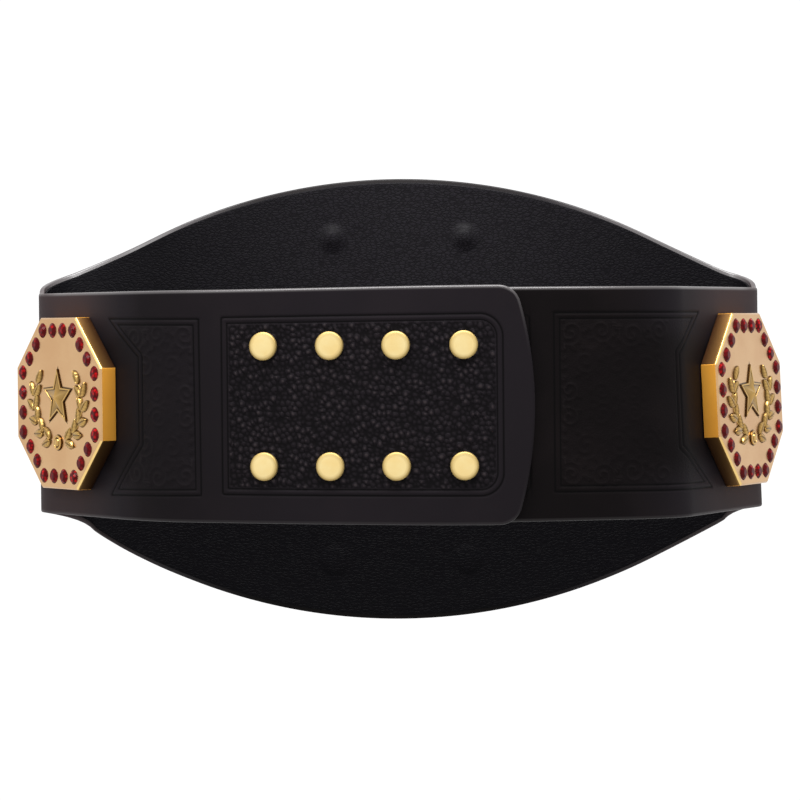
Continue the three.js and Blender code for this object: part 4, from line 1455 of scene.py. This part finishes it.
def stones_piece(name, plate, frame_matrix, metal, finish, rng):
    """All the stones of one plate, each turned and lit a little differently."""
    points, faces, painted_glint = [], [], []
    shape, shape_faces = stone_points(metal.stone_radius / MM, metal.stone_height / MM)
    for x, y in stone_places(plate):
        turn = rng.uniform(0, math.pi / 4)
        start = len(points)
        painted_glint += [rng.uniform() ** 2] * len(shape)
        cos, sin, level = math.cos(turn), math.sin(turn), plate["thickness"]
        points += [(x + u * cos - v * sin, y + u * sin + v * cos, level + w) for u, v, w in shape]
        faces += [tuple(start + k for k in face) for face in shape_faces]
    piece = make_piece(name, placed(frame_matrix, points), faces, [finish], {"painted_glint": np.array(painted_glint)}, sharp=5)
    return piece


def cap_profile(radius, low, top):
    """A cap's profile: its socket, its underside at the flap's face, and its eased dome."""
    return (
        *SOCKET,
        (SOCKET[-1][0], low),
        (radius - 0.15, low),
        (radius, low + 0.15),
        (radius, low + 1.1),
        (radius - 0.09, low + 1.5),
        (radius - 0.3, low + 1.83),
        (radius - 0.7, low + 2.07),
        (radius - 1.4, top - 0.2),
        (radius - 2.6, top - 0.12),
        (radius * 0.4, top - 0.04),
        (0, top),
    )


def screw_profile(back):
    """A flat screw head with an eased edge and a shallow round hollow, standing on the strap's inside."""
    face, floor = back - SCREW_HEIGHT, back - SCREW_RECESS["floor"]
    return (
        (0, back),
        (SCREW_RADIUS, back),
        (SCREW_RADIUS, back - 1.1),
        (SCREW_RADIUS - 0.35, back - 1.45),
        (SCREW_RADIUS - 0.7, face),
        (SCREW_RECESS["radius"], face),
        (SCREW_RECESS["floor_radius"], floor),
        (0, floor),
    )


def rim_shade(cap_radius, radius, height):
    """How much painted shade darkens the gilt at a point of a snap's profile: only round a cap's rim."""
    return float(smooth(cap_radius - 2.1, cap_radius - 0.7, radius)) if height > LAYER_SPACE else 0.0


# Operators, one for each piece or group of like pieces


class BELT_OT_strap(bpy.types.Operator):
    """Makes the tooled black strap in one piece, from its end under the flap round to the flap"""

    bl_idname = "belt.strap"
    bl_label = "Strap"

    def execute(self, context):
        leather = context.scene.belt_leather
        grid = strap_grid(leather)
        thickness = leather.thickness / MM
        s, z = grid.places()
        height, raised = tooled(leather, s, z)
        rounds = leather.edge_round / MM, leather.back_round / MM
        points, faces, lie, edge = leather_sheet(
            grid, lambda s: lane_offset(s, thickness), height, thickness, *rounds
        )
        panel, relief = np.full(len(points), float(PANEL_DEPTHS[0])), np.full(len(points), PLAIN)
        panel[: len(s)] = panel_depth(s, z)
        relief[: len(s)] = raised
        values = {"lie": lie, "edge": edge, "panel": panel * MM, "relief": relief}
        values |= {"wear_and_sheen": wear_and_sheen_share(*lie[:, :2].T / MM), "polish_and_highlight": polish_and_highlight(*lie[:, :2].T / MM)}
        piece = make_piece("strap_tooled", points, faces, [strap_finish(leather)], values)
        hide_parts("strap")
        return {"FINISHED"}


class BELT_OT_lining(bpy.types.Operator):
    """Makes the thin lining of the wide front section, raised over the main plate's screws"""

    bl_idname = "belt.lining"
    bl_label = "Lining"

    def execute(self, context):
        leather = context.scene.belt_leather
        thickness = leather.lining_thickness / MM
        inside = -leather.thickness / MM - GAP - thickness
        grid = lining_grid(leather)
        surface = lining_surface(leather, *grid.places())
        rounds = thickness * LINING_EASE["face"], thickness * LINING_EASE["back"]
        points, faces, lie, _ = leather_sheet(
            grid, lambda s: np.full(np.shape(s), inside), surface, thickness, *rounds, facing=-1
        )
        piece = make_piece("lining_sheet", points, faces, [lining_finish(leather)], {"lie": lie})
        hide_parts("lining")
        return {"FINISHED"}


class BELT_OT_plates(bpy.types.Operator):
    """Makes the three gilt plates with their chamfers, emblems and posts, and the red stones set in them"""

    bl_idname = "belt.plates"
    bl_label = "Plates and Stones"

    def execute(self, context):
        metal = context.scene.belt_metal
        finishes = [
            gilt_finish("gilt_face", metal.face_colour, 0.2),
            gilt_finish("gilt_wall", metal.wall_colour, 0.5),
            gilt_finish("gilt_chamfer", metal.chamfer_colour, 0.26),
            gilt_finish("gilt_relief", metal.relief_colour, 0.2, metal.recess_shade_colour),
            gilt_finish("gilt_slope_shaded", metal.slope_shaded_colour, 0.42, metal.slope_shade_colour),
        ]
        garnet = stone_finish(metal)
        rng = np.random.default_rng(5)
        places = [(name, SIDE, side_frame(name, GAP), SIDE_EMBLEM) for name in SIDE_PLACES]
        places.append(("main_plate", MAIN, frame_on_loop(0, 0, GAP), MAIN_EMBLEM))
        for name, plate, frame_matrix, emblem in places:
            piece = plate_piece(name + "_cast", plate, frame_matrix, emblem, metal, finishes)
            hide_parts(name)
            stones_piece(name + "_stones", plate, frame_matrix, metal, garnet, rng)
        return {"FINISHED"}


class BELT_OT_snaps(bpy.types.Operator):
    """Makes the eight snap caps on the flap and the eight studs under it"""

    bl_idname = "belt.snaps"
    bl_label = "Snaps"

    def execute(self, context):
        metal = context.scene.belt_metal
        finish = cap_finish(metal)
        radius = metal.cap_radius / MM
        low = LAYER_SPACE + context.scene.belt_leather.thickness / MM + GAP
        profiles = {"snap_cap": cap_profile(radius, low, low + metal.cap_height / MM), "snap_stud": STUD}
        number = 0
        for column in range(SNAP["columns"]):
            s = FLAP_TIP - SNAP["first_from_tip"] - SNAP["pitch"] * (SNAP["columns"] - 1 - column)
            for row in (1, -1):
                number += 1
                at = frame_on_loop(s, row * SNAP["row_half"])
                for kind, profile in profiles.items():
                    parts = Parts()
                    parts.add_turned(profile, 56, painted_shade=[rim_shade(radius, *corner) for corner in profile])
                    name = f"{kind}_{number}"
                    points = placed(at, parts.points)
                    values = {"painted_shade": np.array(parts.painted_shade)}
                    piece = make_piece(name + "_turned", points, parts.faces, [finish], values, sharp=35)
                    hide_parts(name)
        return {"FINISHED"}


class BELT_OT_screws(bpy.types.Operator):
    """Makes the flat screws inside the strap and finishes the ones under the lining"""

    bl_idname = "belt.screws"
    bl_label = "Screws"

    def execute(self, context):
        finish = bpy.data.materials.get("snap_metal") or cap_finish(context.scene.belt_metal)
        for name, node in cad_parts.items():
            if name.startswith("main_screw"):
                for slot in node.material_slots:
                    slot.material = finish
        back = -context.scene.belt_leather.thickness / MM - GAP
        for plate_name in SIDE_PLACES:
            at = side_frame(plate_name, 0)
            for k, (x, y) in enumerate(SIDE["posts"]):
                name = f"{plate_name.replace('plate', 'screw')}_{k + 1}"
                parts = Parts()
                parts.add_turned(screw_profile(back), 48, at=(x, y, 0))
                points = placed(at, parts.points)
                piece = make_piece(name + "_turned", points, parts.faces, [finish], sharp=35)
                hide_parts(name)
        return {"FINISHED"}


class BELT_OT_stage(bpy.types.Operator):
    """Sets the pale floor, the white surroundings, the soft lights and the camera"""

    bl_idname = "belt.stage"
    bl_label = "Stage"

    def execute(self, context):
        scene, studio = context.scene, context.scene.belt_studio
        scene.view_settings.view_transform = "Standard"
        world = bpy.data.worlds.new("studio")
        world.use_nodes = True
        world.node_tree.nodes["Background"].inputs["Color"].default_value = (1, 1, 1, 1)
        world.node_tree.nodes["Background"].inputs["Strength"].default_value = studio.backdrop
        scene.world = world
        mesh = bpy.data.meshes.new("floor")
        sides = FLOOR["sides"]
        circle = polar(FLOOR["reach"], 2 * math.pi * np.arange(sides) / sides)
        mesh.from_pydata([(x, y, -studio.floor_drop) for x, y in circle], [], [tuple(range(sides))])
        pale = Finish("pale_floor")
        cloud = pale.noise(pale.object_place(), FLOOR["clouds"], detail=2)
        tone = pale.mix(cloud, *FLOOR["tones"])
        mesh.materials.append(pale.finish(Base_Color=tone, Roughness=0.9, Specular_IOR_Level=0.1))
        floor = bpy.data.objects.new("floor", mesh)
        scene.collection.objects.link(floor)
        self.light(scene, "overhead", studio.overhead, *OVERHEAD_LAMP)
        self.light(scene, "upper_left", studio.side, *SIDE_LAMP)
        camera = bpy.data.cameras.new("camera")
        camera.lens, camera.sensor_width = studio.lens, 36
        eye = bpy.data.objects.new("camera", camera)
        scene.collection.objects.link(eye)
        eye.matrix_world = (
            Matrix.Translation((0, -studio.eye_distance, studio.eye_height))
            @ Matrix.Rotation(math.pi / 2 - studio.look_down, 4, "X")
            @ Matrix.Rotation(studio.roll, 4, "Z")
        )
        scene.camera = eye
        return {"FINISHED"}

    def light(self, scene, name, power, place, width, depth):
        """A soft lamp that faces the belt's middle."""
        data = bpy.data.lights.new(name, "AREA")
        data.shape, data.size, data.size_y, data.energy = "RECTANGLE", width, depth, power
        lamp = bpy.data.objects.new(name, data)
        scene.collection.objects.link(lamp)
        lamp.location = place
        lamp.rotation_euler = (-Vector(place)).to_track_quat("-Z", "Y").to_euler()


class BELT_PT_parts(bpy.types.Panel):
    """Lists the belt's pieces and their sizes and colours"""

    bl_label = "Championship Title Belt"
    bl_idname = "BELT_PT_parts"
    bl_space_type = "VIEW_3D"
    bl_region_type = "UI"
    bl_category = "Title Belt"

    def draw(self, context):
        for operator in OPERATORS:
            self.layout.operator(operator.bl_idname)
        for name, kind in SETTINGS.items():
            box = self.layout.box()
            for setting in kind.__annotations__:
                box.prop(getattr(context.scene, name), setting)


SETTINGS = {"belt_leather": BeltLeather, "belt_metal": BeltMetal, "belt_studio": BeltStudio}
OPERATORS = (BELT_OT_stage, BELT_OT_strap, BELT_OT_lining, BELT_OT_plates, BELT_OT_snaps, BELT_OT_screws)
CLASSES = (*SETTINGS.values(), *OPERATORS, BELT_PT_parts)


def register():
    for kind in CLASSES:
        bpy.utils.register_class(kind)
    for name, kind in SETTINGS.items():
        setattr(bpy.types.Scene, name, bpy.props.PointerProperty(type=kind))


def unregister():
    for name in SETTINGS:
        delattr(bpy.types.Scene, name)
    for kind in reversed(CLASSES):
        bpy.utils.unregister_class(kind)


def main():
    register()
    bpy.ops.belt.stage()
    bpy.ops.belt.strap()
    bpy.ops.belt.lining()
    bpy.ops.belt.plates()
    bpy.ops.belt.snaps()
    bpy.ops.belt.screws()


if __name__ == "__main__":
    main()
